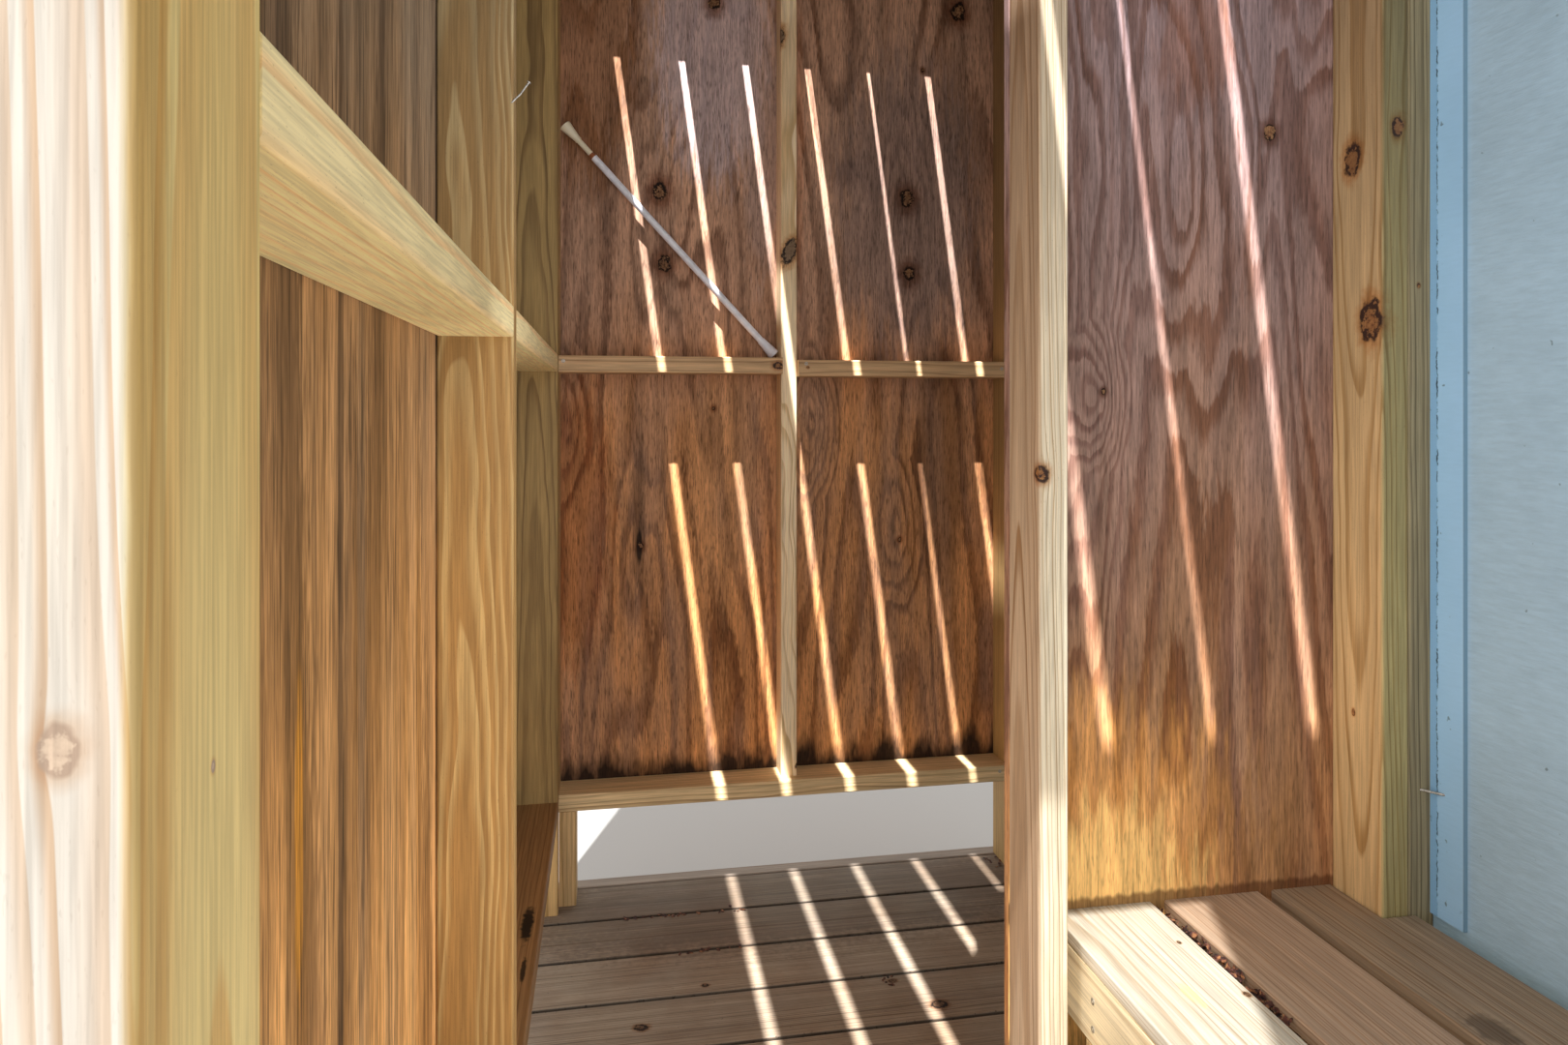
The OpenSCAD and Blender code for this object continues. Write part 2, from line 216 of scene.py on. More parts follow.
# The width of what each pattern draws. Real wood fibres are 0.04 mm wide and resin canals
# 0.2 mm, too fine for the render, so both are drawn as coarse as they need to show.
PINE_FIBRE = 2 * MM
RESIN_FLECK = 0.9091 * MM
PINE_STREAK = 11.111 * MM
RING_DRIFT = 111.11 * MM
WOOD_CLOUD = 71.429 * MM
KNOT_OUTLINE = 18.182 * MM
KNOT_CRACK = 5.8824 * MM
KNOT_BREAK = 25 * MM
STAIN_FRAY = 11.111 * MM
# Colours laid over each post's faces: the paler front partly sun bleaching, partly painted light.
POST_FACES = [("y", -1, "#F4FFFF", 1.0), ("x", 1, "#FFF9B5", 1.0), ("x", -1, "#FFF9B5", 1.0),
              ("y", 1, "#FFF9B5", 1.0)]


def finish_material(node, name):
    """Gives a CAD node a new material of its own and returns its node tree."""
    made = bpy.data.materials.new(name + "_" + node)
    made.use_nodes = True
    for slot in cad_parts[node].material_slots:
        slot.material = made
    return made.node_tree


def from_corner(node, place):
    """A place in the frame, given in mm from the low corner of a CAD node."""
    return Vector(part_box(node)[0]) + Vector(place) * MM


def patches(tree, place, width, drawn, share, stretch=(), detail=2, roughness=0.5):
    """Soft random patches, a width in metres across, which a stretch of less than 1 along
    an axis makes longer there. Over the span of the noise that is drawn, the result goes
    from share's first value to its last."""
    if stretch:
        place = add(tree, "VectorMath", {0: place, 1: stretch}, operation="MULTIPLY")
    noise = add(tree, "TexNoise", {"Vector": place, "Scale": 1 / width, "Detail": detail,
                                   "Roughness": roughness})
    return add(tree, "MapRange", {"Value": noise, "From Min": drawn[0], "From Max": drawn[1],
                                  "To Min": share[0], "To Max": share[1]})


def reach_of(tree, place, node, spot, half):
    """The way from a spot on a node, as a share of its half sizes in mm."""
    away = add(tree, "VectorMath", {0: place, 1: from_corner(node, spot)}, operation="SUBTRACT")
    away = add(tree, "VectorMath", {0: away, 1: [h * MM for h in half]}, operation="DIVIDE")
    return add(tree, "VectorMath", {0: away}, out="Value", operation="LENGTH")


def round_knots(tree, place, node, along, knots, reach=1.0, slant=0.0, oval=0.78):
    """Leads the grain round each knot, and measures the way to it in knot radii.

    A knot is its place and radius in mm and how far the grain swerves round it. reach
    widens the swerve, and slant and oval give the shape where a saw cuts it aslant."""
    bent = place
    nearest = 100.0
    stretched = [oval if axis == along else 1 for axis in "xyz"]
    for x, y, z, radius, bend in knots:
        away = add(tree, "VectorMath", {0: place, 1: from_corner(node, (x, y, z))}, operation="SUBTRACT")
        near = add(tree, "VectorMath", {0: away, 1: SHORTENED[along]}, operation="MULTIPLY")
        near = add(tree, "VectorMath", {0: near}, out="Value", operation="LENGTH")
        near = add(tree, "Math", {0: near, 1: radius * reach * MM}, operation="DIVIDE")
        near = add(tree, "Math", {0: near, 1: near, 2: 1.0}, operation="MULTIPLY_ADD")
        share = add(tree, "Math", {0: bend, 1: near}, operation="DIVIDE")
        shift = add(tree, "VectorMath", {0: away, 1: SIDEWAYS[along]}, operation="MULTIPLY")
        shift = add(tree, "VectorMath", {0: shift, "Scale": share}, operation="SCALE")
        bent = add(tree, "VectorMath", {0: bent, 1: shift}, operation="ADD")
        core = away
        if slant:
            core = add(tree, "VectorRotate", {"Vector": away, "Angle": slant}, rotation_type="Y_AXIS")
        core = add(tree, "VectorMath", {0: core, 1: stretched}, operation="MULTIPLY")
        core = add(tree, "VectorMath", {0: core}, out="Value", operation="LENGTH")
        core = add(tree, "Math", {0: core, 1: radius * MM}, operation="DIVIDE")
        nearest = add(tree, "Math", {0: nearest, 1: core}, operation="MINIMUM")
    if knots:
        ragged = add(tree, "TexNoise", {"Vector": place, "Scale": 1 / KNOT_OUTLINE, "Detail": 3,
                                        "Roughness": 0.6})
        nearest = add(tree, "Math", {0: ragged, 1: KNOT_RAGGED, 2: nearest}, operation="MULTIPLY_ADD")
        nearest = add(tree, "Math", {0: nearest, 1: KNOT_RAGGED / 2}, operation="SUBTRACT")
    return bent, nearest


def paint_knots(tree, wood, place, nearest, ring, heart, pale, halo, spread=1.9):
    """Colours the knots: a broken dark bark ring, a chipped and cracked heart, a halo."""
    glow = add(tree, "MapRange", {"Value": nearest, "From Min": 0.9, "From Max": spread,
                                  "To Min": 0.8, "To Max": 0}, interpolation_type="SMOOTHSTEP")
    wood = add(tree, "Mix", {0: glow, 6: wood, 7: linear(halo)}, out=2, data_type="RGBA",
               blend_type="MULTIPLY")
    cracks = add(tree, "TexNoise", {"Vector": place, "Scale": 1 / KNOT_CRACK, "Detail": 3,
                                    "Roughness": 0.7})
    chip = add(tree, "MapRange", {"Value": cracks, "From Min": 0.35, "From Max": 0.6})
    chip = add(tree, "Mix", {0: chip, 6: linear(pale), 7: linear(heart)}, out=2, data_type="RGBA")
    bark = add(tree, "MapRange", {"Value": nearest, "From Min": 0.35, "From Max": 0.95,
                                  "To Min": -0.08, "To Max": 0.2}, interpolation_type="SMOOTHSTEP")
    cracks = add(tree, "Math", {0: cracks, 1: bark}, operation="ADD")
    broken = add(tree, "TexNoise", {"Vector": place, "Scale": 1 / KNOT_BREAK, "Detail": 1})
    cracks = add(tree, "Math", {0: broken, 1: 0.5, 2: cracks}, operation="MULTIPLY_ADD")
    cracks = add(tree, "Math", {0: cracks, 1: 0.25}, operation="SUBTRACT")
    cracks = add(tree, "MapRange", {"Value": cracks, "From Min": 0.5, "From Max": 0.6})
    core = add(tree, "Mix", {0: cracks, 6: chip, 7: linear(ring)}, out=2, data_type="RGBA")
    inside = add(tree, "MapRange", {"Value": nearest, "From Min": 0.9, "From Max": 1.12,
                                    "To Min": 1, "To Max": 0})
    return add(tree, "Mix", {0: inside, 6: wood, 7: core}, out=2, data_type="RGBA")


def stain_and_paint_light(tree, wood, place, node, stains_and_light):
    """Colours the wood in soft ragged patches, each with a place and half sizes in mm: real
    stains, and painted light and shade.
    """
    frayed = add(tree, "VectorMath", {0: place, 1: (1, 1, 0.15)}, operation="MULTIPLY")
    frayed = add(tree, "TexNoise", {"Vector": frayed, "Scale": 1 / STAIN_FRAY, "Detail": 3})
    for spot, half, colour, share in stains_and_light:
        away = reach_of(tree, place, node, spot, half)
        away = add(tree, "Math", {0: frayed, 1: away}, operation="ADD")
        inside = add(tree, "MapRange", {"Value": away, "From Min": 1.05, "From Max": 1.5,
                                        "To Min": share, "To Max": 0}, interpolation_type="SMOOTHSTEP")
        wood = add(tree, "Mix", {0: inside, 6: wood, 7: linear(colour)}, out=2, data_type="RGBA")
    return wood


def late_wood(tree, years, faint, bold, rise, fall):
    """How far the wood is late wood, from its age in years. Each year ends in a line of it
    that comes softly and stops sharply, and is fainter in some years than in others."""
    season = add(tree, "Math", {0: years}, operation="FRACT")
    year = add(tree, "Math", {0: years}, operation="FLOOR")
    harsh = add(tree, "TexWhiteNoise", {"W": year}, noise_dimensions="1D")
    harsh = add(tree, "MapRange", {"Value": harsh, "To Min": faint, "To Max": bold})
    begun = add(tree, "MapRange", {"Value": season, "From Min": rise[0], "From Max": rise[1]},
                interpolation_type="SMOOTHSTEP")
    lasting = add(tree, "MapRange", {"Value": season, "From Min": fall[0], "From Max": fall[1],
                                     "To Min": 1, "To Max": 0})
    lateness = add(tree, "Math", {0: begun, 1: lasting}, operation="MULTIPLY")
    return add(tree, "Math", {0: lateness, 1: harsh}, operation="MULTIPLY")


def planed_pine(node, along, pith, ring, early, late, shade, lean=(0, 0), knots=(), boards=None,
                faces=(), stains_and_light=(), painted_height_shade=(), wander=9, patch=0.35, roughness=0.62, tone=0.1,
                bold=1.0, fleck=0.3, bark="#3A2218", heart="#8A5A34", rise_at=0.5, slant=0.0,
                oval=0.78, streaky=1.0, chip="#A87848", halo="#CFA070", painted_board_shade=()):
    """Southern pine, sawn and planed: the plane leaves a dull, faintly silky face, on which
    pale early wood and darker late lines run as the saw cut the log, with dark knots.

    pith is a place on the log's middle and ring a year's growth, both in mm. lean turns
    the log, wander bows its rings, and boards deals every board another piece of it. A
    face is an axis, a side, its colour and share: painted light and shade on that face, and
    on the posts partly sun bleaching. The colours by height in metres are painted shade,
    and the colours dealt to the boards in turn are painted shade."""
    tree = finish_material(node, "planed_pine")
    place = add(tree, "TexCoord", {}, out="Object")
    bent, nearest = round_knots(tree, place, node, along, knots, slant=slant, oval=oval)
    turn = (Matrix.Rotation(lean[0], 3, "X") @ Matrix.Rotation(lean[1], 3, "Y")
            @ GRAIN_TURN[along].to_matrix())
    log = add(tree, "Mapping", {"Vector": bent, "Rotation": turn.to_euler(),
                                "Location": -(turn @ from_corner(node, pith))})
    if boards:
        axis, start, pitch, spread = boards
        across = add(tree, "SeparateXYZ", {0: place}, out="xyz".index(axis))
        count = add(tree, "MapRange", {"Value": across, "From Min": start, "From Max": start + pitch},
                    clamp=False)
        count = add(tree, "Math", {0: count}, operation="FLOOR")
        chance = add(tree, "TexWhiteNoise", {"W": count}, out="Color", noise_dimensions="1D")
        log = add(tree, "VectorMath", {0: chance, 1: [s * MM for s in spread], 2: log},
                  operation="MULTIPLY_ADD")
        luck = add(tree, "TexWhiteNoise", {"W": count}, noise_dimensions="1D")
        value = add(tree, "MapRange", {"Value": luck, "To Min": 1 - tone, "To Max": 1 + tone})

    slow = add(tree, "VectorMath", {0: log, 1: (1, 1, 0.28)}, operation="MULTIPLY")
    drift = add(tree, "TexNoise", {"Vector": slow, "Scale": 1 / RING_DRIFT, "Detail": 2}, out="Color")
    bowed = add(tree, "VectorMath", {0: drift, 1: (wander * MM, wander * MM, 0), 2: log},
                operation="MULTIPLY_ADD")
    bowed = add(tree, "VectorMath", {0: bowed, 1: (1, 1, 0)}, operation="MULTIPLY")
    radius = add(tree, "VectorMath", {0: bowed}, out="Value", operation="LENGTH")
    years = add(tree, "Math", {0: radius, 1: ring * MM}, operation="DIVIDE")
    uneven = add(tree, "TexNoise", {"W": years, "Scale": 0.45, "Detail": 1}, noise_dimensions="1D")
    years = add(tree, "Math", {0: uneven, 1: UNEVEN_YEARS, 2: years}, operation="MULTIPLY_ADD")
    lateness = late_wood(tree, years, 0.45 * bold, bold, rise=(rise_at, 0.88), fall=(0.94, 1.0))
    wood = add(tree, "Mix", {0: lateness, 6: linear(early), 7: linear(late)}, out=2, data_type="RGBA")
    mottle = patches(tree, slow, WOOD_CLOUD, (0.42, 0.7), (0, patch))
    wood = add(tree, "Mix", {0: mottle, 6: wood, 7: linear(shade)}, out=2, data_type="RGBA")

    # Colours laid over single faces: painted light and shade, and on the posts partly sun bleaching.
    for axis, side, colour, share in faces:
        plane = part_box(node)[0 if side < 0 else 1]["xyz".index(axis)]
        skin = add(tree, "SeparateXYZ", {0: place}, out="xyz".index(axis))
        skin = add(tree, "MapRange", {"Value": skin, "From Min": plane,
                                      "From Max": plane - side * FACE_DEPTH,
                                      "To Min": share, "To Max": 0})
        wood = add(tree, "Mix", {0: skin, 6: wood, 7: linear(colour)}, out=2, data_type="RGBA",
                   blend_type="MULTIPLY")
    # Painted shade per board: the boards behind the front one are darkened in turn.
    if painted_board_shade:
        turn_taken = add(tree, "Math", {0: count, 1: len(painted_board_shade)}, operation="DIVIDE")
        board_shade = add(tree, "ValToRGB", {"Fac": turn_taken},
                  stops=[(max(0, i / len(painted_board_shade) - 0.01), c) for i, c in enumerate(painted_board_shade)])
        board_shade.node.color_ramp.interpolation = "CONSTANT"
        wood = add(tree, "Mix", {0: 1.0, 6: wood, 7: board_shade}, out=2, data_type="RGBA",
                   blend_type="MULTIPLY")
    if stains_and_light:
        wood = stain_and_paint_light(tree, wood, place, node, stains_and_light)
    if knots:
        wood = paint_knots(tree, wood, place, nearest, bark, heart, chip, halo)
    speck = patches(tree, log, RESIN_FLECK, (0.68, 0.76), (0, fleck), stretch=(1, 1, 0.2), detail=1)
    wood = add(tree, "Mix", {0: speck, 6: wood, 7: linear(FLECK_COLOUR)}, out=2, data_type="RGBA")
    # Painted shade by height: the wood is darkened and cooled up high.
    if painted_height_shade:
        height = add(tree, "SeparateXYZ", {0: place}, out=2)
        height = add(tree, "Math", {0: height, 1: TALLEST}, operation="DIVIDE")
        height_shade = add(tree, "ValToRGB", {"Fac": height}, stops=[(z / TALLEST, c) for z, c in painted_height_shade])
        wood = add(tree, "Mix", {0: 1.0, 6: wood, 7: height_shade}, out=2, data_type="RGBA",
                   blend_type="MULTIPLY")

    thread = add(tree, "VectorMath", {0: place, 1: THREAD[along]}, operation="MULTIPLY")
    fibre = add(tree, "TexNoise", {"Vector": thread, "Scale": 1 / PINE_FIBRE, "Detail": 2})
    light = add(tree, "MapRange", {"Value": fibre, "From Min": 0.35, "From Max": 0.65,
                                   "To Min": 0.84, "To Max": 1.1})
    streak = patches(tree, thread, PINE_STREAK, (0.35, 0.65), (1 - 0.12 * streaky, 1 + 0.08 * streaky))
    light = add(tree, "Math", {0: light, 1: streak}, operation="MULTIPLY")
    if boards:
        light = add(tree, "Math", {0: light, 1: value}, operation="MULTIPLY")
    wood = add(tree, "HueSaturation", {"Color": wood, "Value": light})
    relief = add(tree, "Bump", {"Height": fibre, "Strength": 0.35, "Distance": 0.4 * MM})
    shader = tree.nodes["Principled BSDF"]
    shader.inputs["Roughness"].default_value = roughness
    shader.inputs["Specular IOR Level"].default_value = 0.35
    tree.links.new(wood, shader.inputs["Base Color"])
    tree.links.new(relief, shader.inputs["Normal"])
    return tree


planed_pine("left_entrance_post", "z", (20, 55, 0), 6.5, "#D6C4B8", "#C49A78", "#D2B89C",
            lean=(0.002, 0.022), wander=10, faces=POST_FACES, fleck=0.1, rise_at=0.3, bold=0.8,
            streaky=0.4, bark="#A8907C", heart="#BCA48E", chip="#CCB49C", halo="#EED8C4",
            stains_and_light=[((89, 8, 1000), (3, 14, 2600), "#B08846", 0.6)],
            knots=[(72, 0, 1016, 5.0, 0.9), (89, 48, 994, 1.6, 0.9)])
planed_pine("right_entrance_post", "z", (69, 55, 0), 6.5, "#D6C4B8", "#C49A78", "#D2B89C",
            lean=(0.002, -0.022), wander=10, faces=POST_FACES, fleck=0.1, rise_at=0.3, bold=0.8,
            streaky=0.4)

# Deck: treated boards laid across the sleepers with gaps that let the water through,
# greyed by weather and trodden dirt, and a rim board on edge round them.
DECK_BOARDS = 13
DECK_PITCH = 0.152
DECK_GAP = 0.007
DIRT_SPECK = 9.0909 * MM
WORN_PATCH = 285.71 * MM
DIRT_COLOUR = "#3A2C22"
WORN_COLOUR = "#D2B49A"
GAP_COLOUR = "#1E1712"

last_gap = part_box("deck_boards")[1][1] + DECK_GAP / 2
# The boards are darker along their back edge, under the back wall.
deck = planed_pine("deck_boards", "x", (0, 0, -60), 5, "#B0A08C", "#84705A", "#98887A",
                   boards=("y", last_gap - DECK_BOARDS * DECK_PITCH, DECK_PITCH, (60, 160, 900)),
                   knots=[(250, 1436, 38, 9, 0.9), (797, 1407, 38, 12, 0.9), (733, 1494, 38, 6, 0.9),
                          (375, 1544, 38, 5, 0.9)],
                   roughness=0.75, patch=0.4, wander=12, bark="#1A110C", heart="#57402F", chip="#86684E",
                   stains_and_light=[((600, 1850, 38), (900, 260, 20), "#6A5E52", 0.45)])
place = add(deck, "TexCoord", {}, out="Object")
# The way from the middle of the nearest gap, as a share of the boards' pitch.
seam = add(deck, "SeparateXYZ", {0: place}, out=1)
seam = add(deck, "MapRange", {"Value": seam, "From Min": last_gap, "From Max": last_gap - DECK_PITCH},
           clamp=False)
seam = add(deck, "Math", {0: seam, 1: 0.5}, operation="PINGPONG")
dirt = add(deck, "TexNoise", {"Vector": place, "Scale": 1 / DIRT_SPECK, "Detail": 6, "Roughness": 0.7})
edge_dirt = add(deck, "MapRange", {"Value": seam, "From Min": 0.02, "From Max": 0.06,
                                   "To Min": 0.08, "To Max": 0})
dirt = add(deck, "Math", {0: dirt, 1: edge_dirt}, operation="ADD")
dirt = add(deck, "MapRange", {"Value": dirt, "From Min": 0.64, "From Max": 0.7, "To Max": 0.75})
worn = patches(deck, place, WORN_PATCH, (0.42, 0.66), (0, 0.6), detail=5, roughness=0.6)
gap_dark = add(deck, "MapRange", {"Value": seam, "From Min": 0.024, "From Max": 0.036,
                                  "To Min": 0.75, "To Max": 0})
shader = deck.nodes["Principled BSDF"]
boards = shader.inputs["Base Color"].links[0].from_socket
boards = add(deck, "Mix", {0: worn, 6: boards, 7: linear(WORN_COLOUR)}, out=2, data_type="RGBA",
             blend_type="MULTIPLY")
boards = add(deck, "Mix", {0: dirt, 6: boards, 7: linear(DIRT_COLOUR)}, out=2, data_type="RGBA")
boards = add(deck, "Mix", {0: gap_dark, 6: boards, 7: linear(GAP_COLOUR)}, out=2, data_type="RGBA")
deck.links.new(boards, shader.inputs["Base Color"])
for rim, along in (("deck_rim_front", "x"), ("deck_rim_back", "x"), ("deck_rim_left", "y"),
                   ("deck_rim_right", "y")):
    planed_pine(rim, along, (-30, -30, -60), 6, "#A9998A", "#8A7664", "#94867A", roughness=0.75)
planed_pine("deck_sleepers", "y", (-40, 0, -60), 5, "#A58C66", "#7E6544", "#8C7A5A", roughness=0.75)

# Left wall: studs and plates of treated pine nailed together, the corner stud green
# from its treatment, the blocking clean and new, and the plate browner near the deck. The
# middle stud's year lines are paler than its wood.
PLATE_PINE = ("#CDB288", "#A4845A", "#B79C72")

planed_pine("left_legs", "z", (-50, -60, 0), 5, "#D6AE74", "#A47C46", "#BE965E")
# Two near-black patches on the bottom plate's top are painted shade: the dark of a hole in it.
planed_pine("left_bottom_plate", "y", (140, 0, -60), 6, "#A47C50", "#805A34", "#8C6A3F",
            stains_and_light=[((67, 1306, 38), (12, 70, 12), "#0C0806", 0.97),
                    ((72, 1170, 38), (5, 40, 12), "#1A120C", 0.9)])
planed_pine("left_corner_stud", "z", (50, 90, 0), 7, "#B2945E", "#80643C", "#9C7E4C",
            lean=(0.012, 0.004), wander=18)
# The middle stud is painted cooler and darker up high: painted shade.
planed_pine("left_middle_stud", "z", (42, 60, 0), 7, "#B2884E", "#D8B678", "#AC824C",
            lean=(0.02, 0.004), painted_height_shade=[(1.0, "#FFFFFF"), (1.85, "#BAC8EA")], wander=26, rise_at=0.35,
            patch=0.3)
# The blocking's side face is painted a little darker and cooler than its underside: painted shade.
planed_pine("left_blocking", "y", (-30, 0, 70), 9, "#FFF0B4", "#FFCC88", "#FFE8A8",
            lean=(0.006, 0.003), wander=7, bold=0.6, patch=0.15, streaky=0.3,
            faces=[("x", 1, "#F6F2F8", 1.0)])
planed_pine("left_top_plate", "y", (40, 0, -70), 7, *PLATE_PINE)

# Back wall: the same framing, whose sill lies on legs over the open strip at the wall's
# foot, and two pieces of blocking between the studs at waist height.
STUD_PINE = ("#CDAA70", "#A58048", "#BE9A62")
# Up high the studs are painted cooler and darker: painted shade.
STUD_PAINTED_SHADE = [(0.45, "#FFFFFF"), (1.1, "#E4E4EA"), (1.75, "#CBCBDD")]

planed_pine("back_leg", "z", (-30, 160, 0), 5, "#D9B684", "#AE8850", "#C29E68")
planed_pine("back_sill", "x", (0, 150, -50), 6, "#E6C898", "#A98558", "#D2B080", wander=14)
planed_pine("back_corner_stud", "z", (90, -60, 0), 6, "#C9A878", "#9E7A4C", "#B5936A")
planed_pine("back_centre_stud", "z", (20, 140, 0), 4, "#FFE6BE", "#C8A066", "#F6D6A4",
            slant=-0.35, oval=0.45, lean=(0.008, 0), wander=20, fleck=0.15,
            bark="#2A1A12", heart="#7A6048", chip="#8E7458",
            knots=[(20, 0, 1232, 15, 1.4), (-6, 0, 1730, 13, 1.0), (37, 0, 24, 2.5, 0)])
planed_pine("back_end_stud", "z", (-60, 140, 0), 6, *STUD_PINE, painted_height_shade=STUD_PAINTED_SHADE)
planed_pine("back_wall_stud", "z", (-60, 140, 0), 6, *STUD_PINE, painted_height_shade=STUD_PAINTED_SHADE)
planed_pine("back_blocking", "x", (0, 140, -40), 6, "#D6B084", "#A88058", "#C49C70",
            knots=[(496, 0, 24, 9, 1.0), (566, 0, 20, 2.5, 0.9)])
planed_pine("back_top_plate", "x", (0, 140, -40), 6, *PLATE_PINE)

# Partition: three studs, of which two stand together at the party wall, with
# plates between them and plywood on the far side.
# Both studs are also painted cooler and darker up high: painted shade.
# The end stud's left face and the inner stud's front face are painted darker: painted shade.
planed_pine("partition_end_stud", "z", (-75, 60, 0), 5, "#F2E4C8", "#B49060", "#E4D2AE", wander=7,
            lean=(0, 0.016), faces=[("x", -1, "#CCBAAE", 1.0)], patch=0.2,
            painted_height_shade=[(0.9, "#FFFFFF"), (1.9, "#B8AEAA")], knots=[(4, 2, 1027, 9, 1.0)])
planed_pine("partition_inner_stud", "z", (85, 45, 0), 7, "#DCBA86", "#AA8048", "#CAA672",
            lean=(0.004, 0.02), painted_height_shade=[(0.9, "#FFFFFF"), (2.0, "#A8A8B8")], wander=14,
            faces=[("y", -1, "#CADAD0", 1.0)], halo="#E2B88C", oval=0.6,
            knots=[(0, 52, 1439, 14, 1.0), (0, 20, 1222, 17, 1.0), (0, 50, 700, 2.5, 0.8),
                   (23, 0, 1469, 9, 1.0)])
planed_pine("partition_wall_stud", "z", (-60, 60, 0), 7, "#968868", "#665A40", "#7E7256",
            lean=(0.01, 0), wander=12, knots=[(15, 0, 1265, 2.5, 0.6)])
planed_pine("partition_bottom_plate", "x", (0, 140, -40), 6, *STUD_PINE)
planed_pine("partition_top_plate", "x", (0, 140, -40), 6, *PLATE_PINE)

# Bench: three wide planed boards on two rails, with bearers across the ends and two
# legs. The two boards behind the front one are painted browner and darker: painted shade.
BENCH_PITCH = 0.159
BENCH_EDGE = 0.01
LEG_PINE = ("#D6B988", "#AE8A56", "#C4A470")

planed_pine("bench_boards", "y", (70, 0, -90), 5, "#CCC4B2", "#A88E6C", "#C0B29A",
            boards=("x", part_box("bench_boards")[0][0] - BENCH_EDGE, BENCH_PITCH, (100, 0, 700)),
            painted_board_shade=["#FFFFFF", "#E2CABC", "#C4B2A3"], patch=0.2, wander=10, tone=0.02,
            heart="#4A3020", chip="#9A7A5C", knots=[(133, 614, 19, 3.4, 0.9), (119, 724, 19, 2.4, 0.9)],
            stains_and_light=[((346, 514, 19), (26, 34, 8), "#3E3024", 0.55),
                    ((71, 624, 19), (9, 26, 8), "#E8D48C", 0.6)])
planed_pine("bench_rails", "y", (-60, 0, 40), 6, "#F8E8C4", "#C2A070", "#E6D0A0")
planed_pine("bench_bearers", "x", (0, 60, -60), 6, *LEG_PINE)
planed_pine("bench_legs", "z", (-60, 30, 0), 6, *LEG_PINE)

# Board cover: planed boards laid from back to front with open gaps, on the wall
# plates and on one rafter at their front ends.
SLAT_PITCH = 0.152
FIRST_SLAT_EDGE = 0.0445

planed_pine("roof_slats", "y", (0, 0, -60), 6, "#B8A284", "#937A5A", "#A69072",
            boards=("x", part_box("roof_slats")[0][0] + FIRST_SLAT_EDGE, SLAT_PITCH, (140, 0, 900)))
planed_pine("roof_front_rafter", "x", (0, 140, -40), 6, *PLATE_PINE)

# Party wall: studs and plates behind painted siding, closed by plywood on the
# side of the neighbouring building.
planed_pine("party_studs", "z", (140, -40, 0), 6, *STUD_PINE)
planed_pine("party_bottom_plate", "y", (140, 0, -40), 6, "#C2A068", "#9A7844", "#B0905C")
planed_pine("party_top_plate", "y", (140, 0, -40), 6, *PLATE_PINE)

# Plywood on the left wall: two sheets of rotary-cut southern pine, left rough from the
# lathe and nailed to the outside of the studs. Rain has darkened their feet. Their
# colour, paler and warmer low down and greyer up high, is partly painted light: warm
# light thrown up from the deck below and cooler light from above.
WEATHERED_TONE = 1.25
# The width of what each pattern draws. Real fibres are 0.04 mm wide and the lathe's cracks
# 0.1 mm, too fine for the render, so both are drawn as coarse as they need to show.
VENEER_FIBRE = 2.6316 * MM
VENEER_STREAK = 29.412 * MM
RING_TOOTH = 5 * MM
RING_WOBBLE = 62.5 * MM
TONE_CLOUD = 142.86 * MM
GREY_CLOUD = 90.909 * MM
MOULD_BLOTCH = 45.455 * MM
MOULD_HEIGHT = 0.15
MOULD_COLOUR = "#22140A"
KNOT_RING_COLOUR = "#1C110B"
LEFT_EARLY = [(0.5, "#F2B670"), (1.0, "#D0985A"), (1.6, "#968068")]
LEFT_LATE = [(0.5, "#B87E40"), (1.0, "#8A6030"), (1.6, "#665444")]
LEFT_GREY = "#A88A6C"
LEFT_FACE = {"bands": 5, "lobes": 0.06, "contrast": 0.8, "cool_share": 0.3, "flow": 0.03,
             "streaky": 1.8, "crack": 5.8824, "check_dark": 0.5, "outside": ("x", -1)}


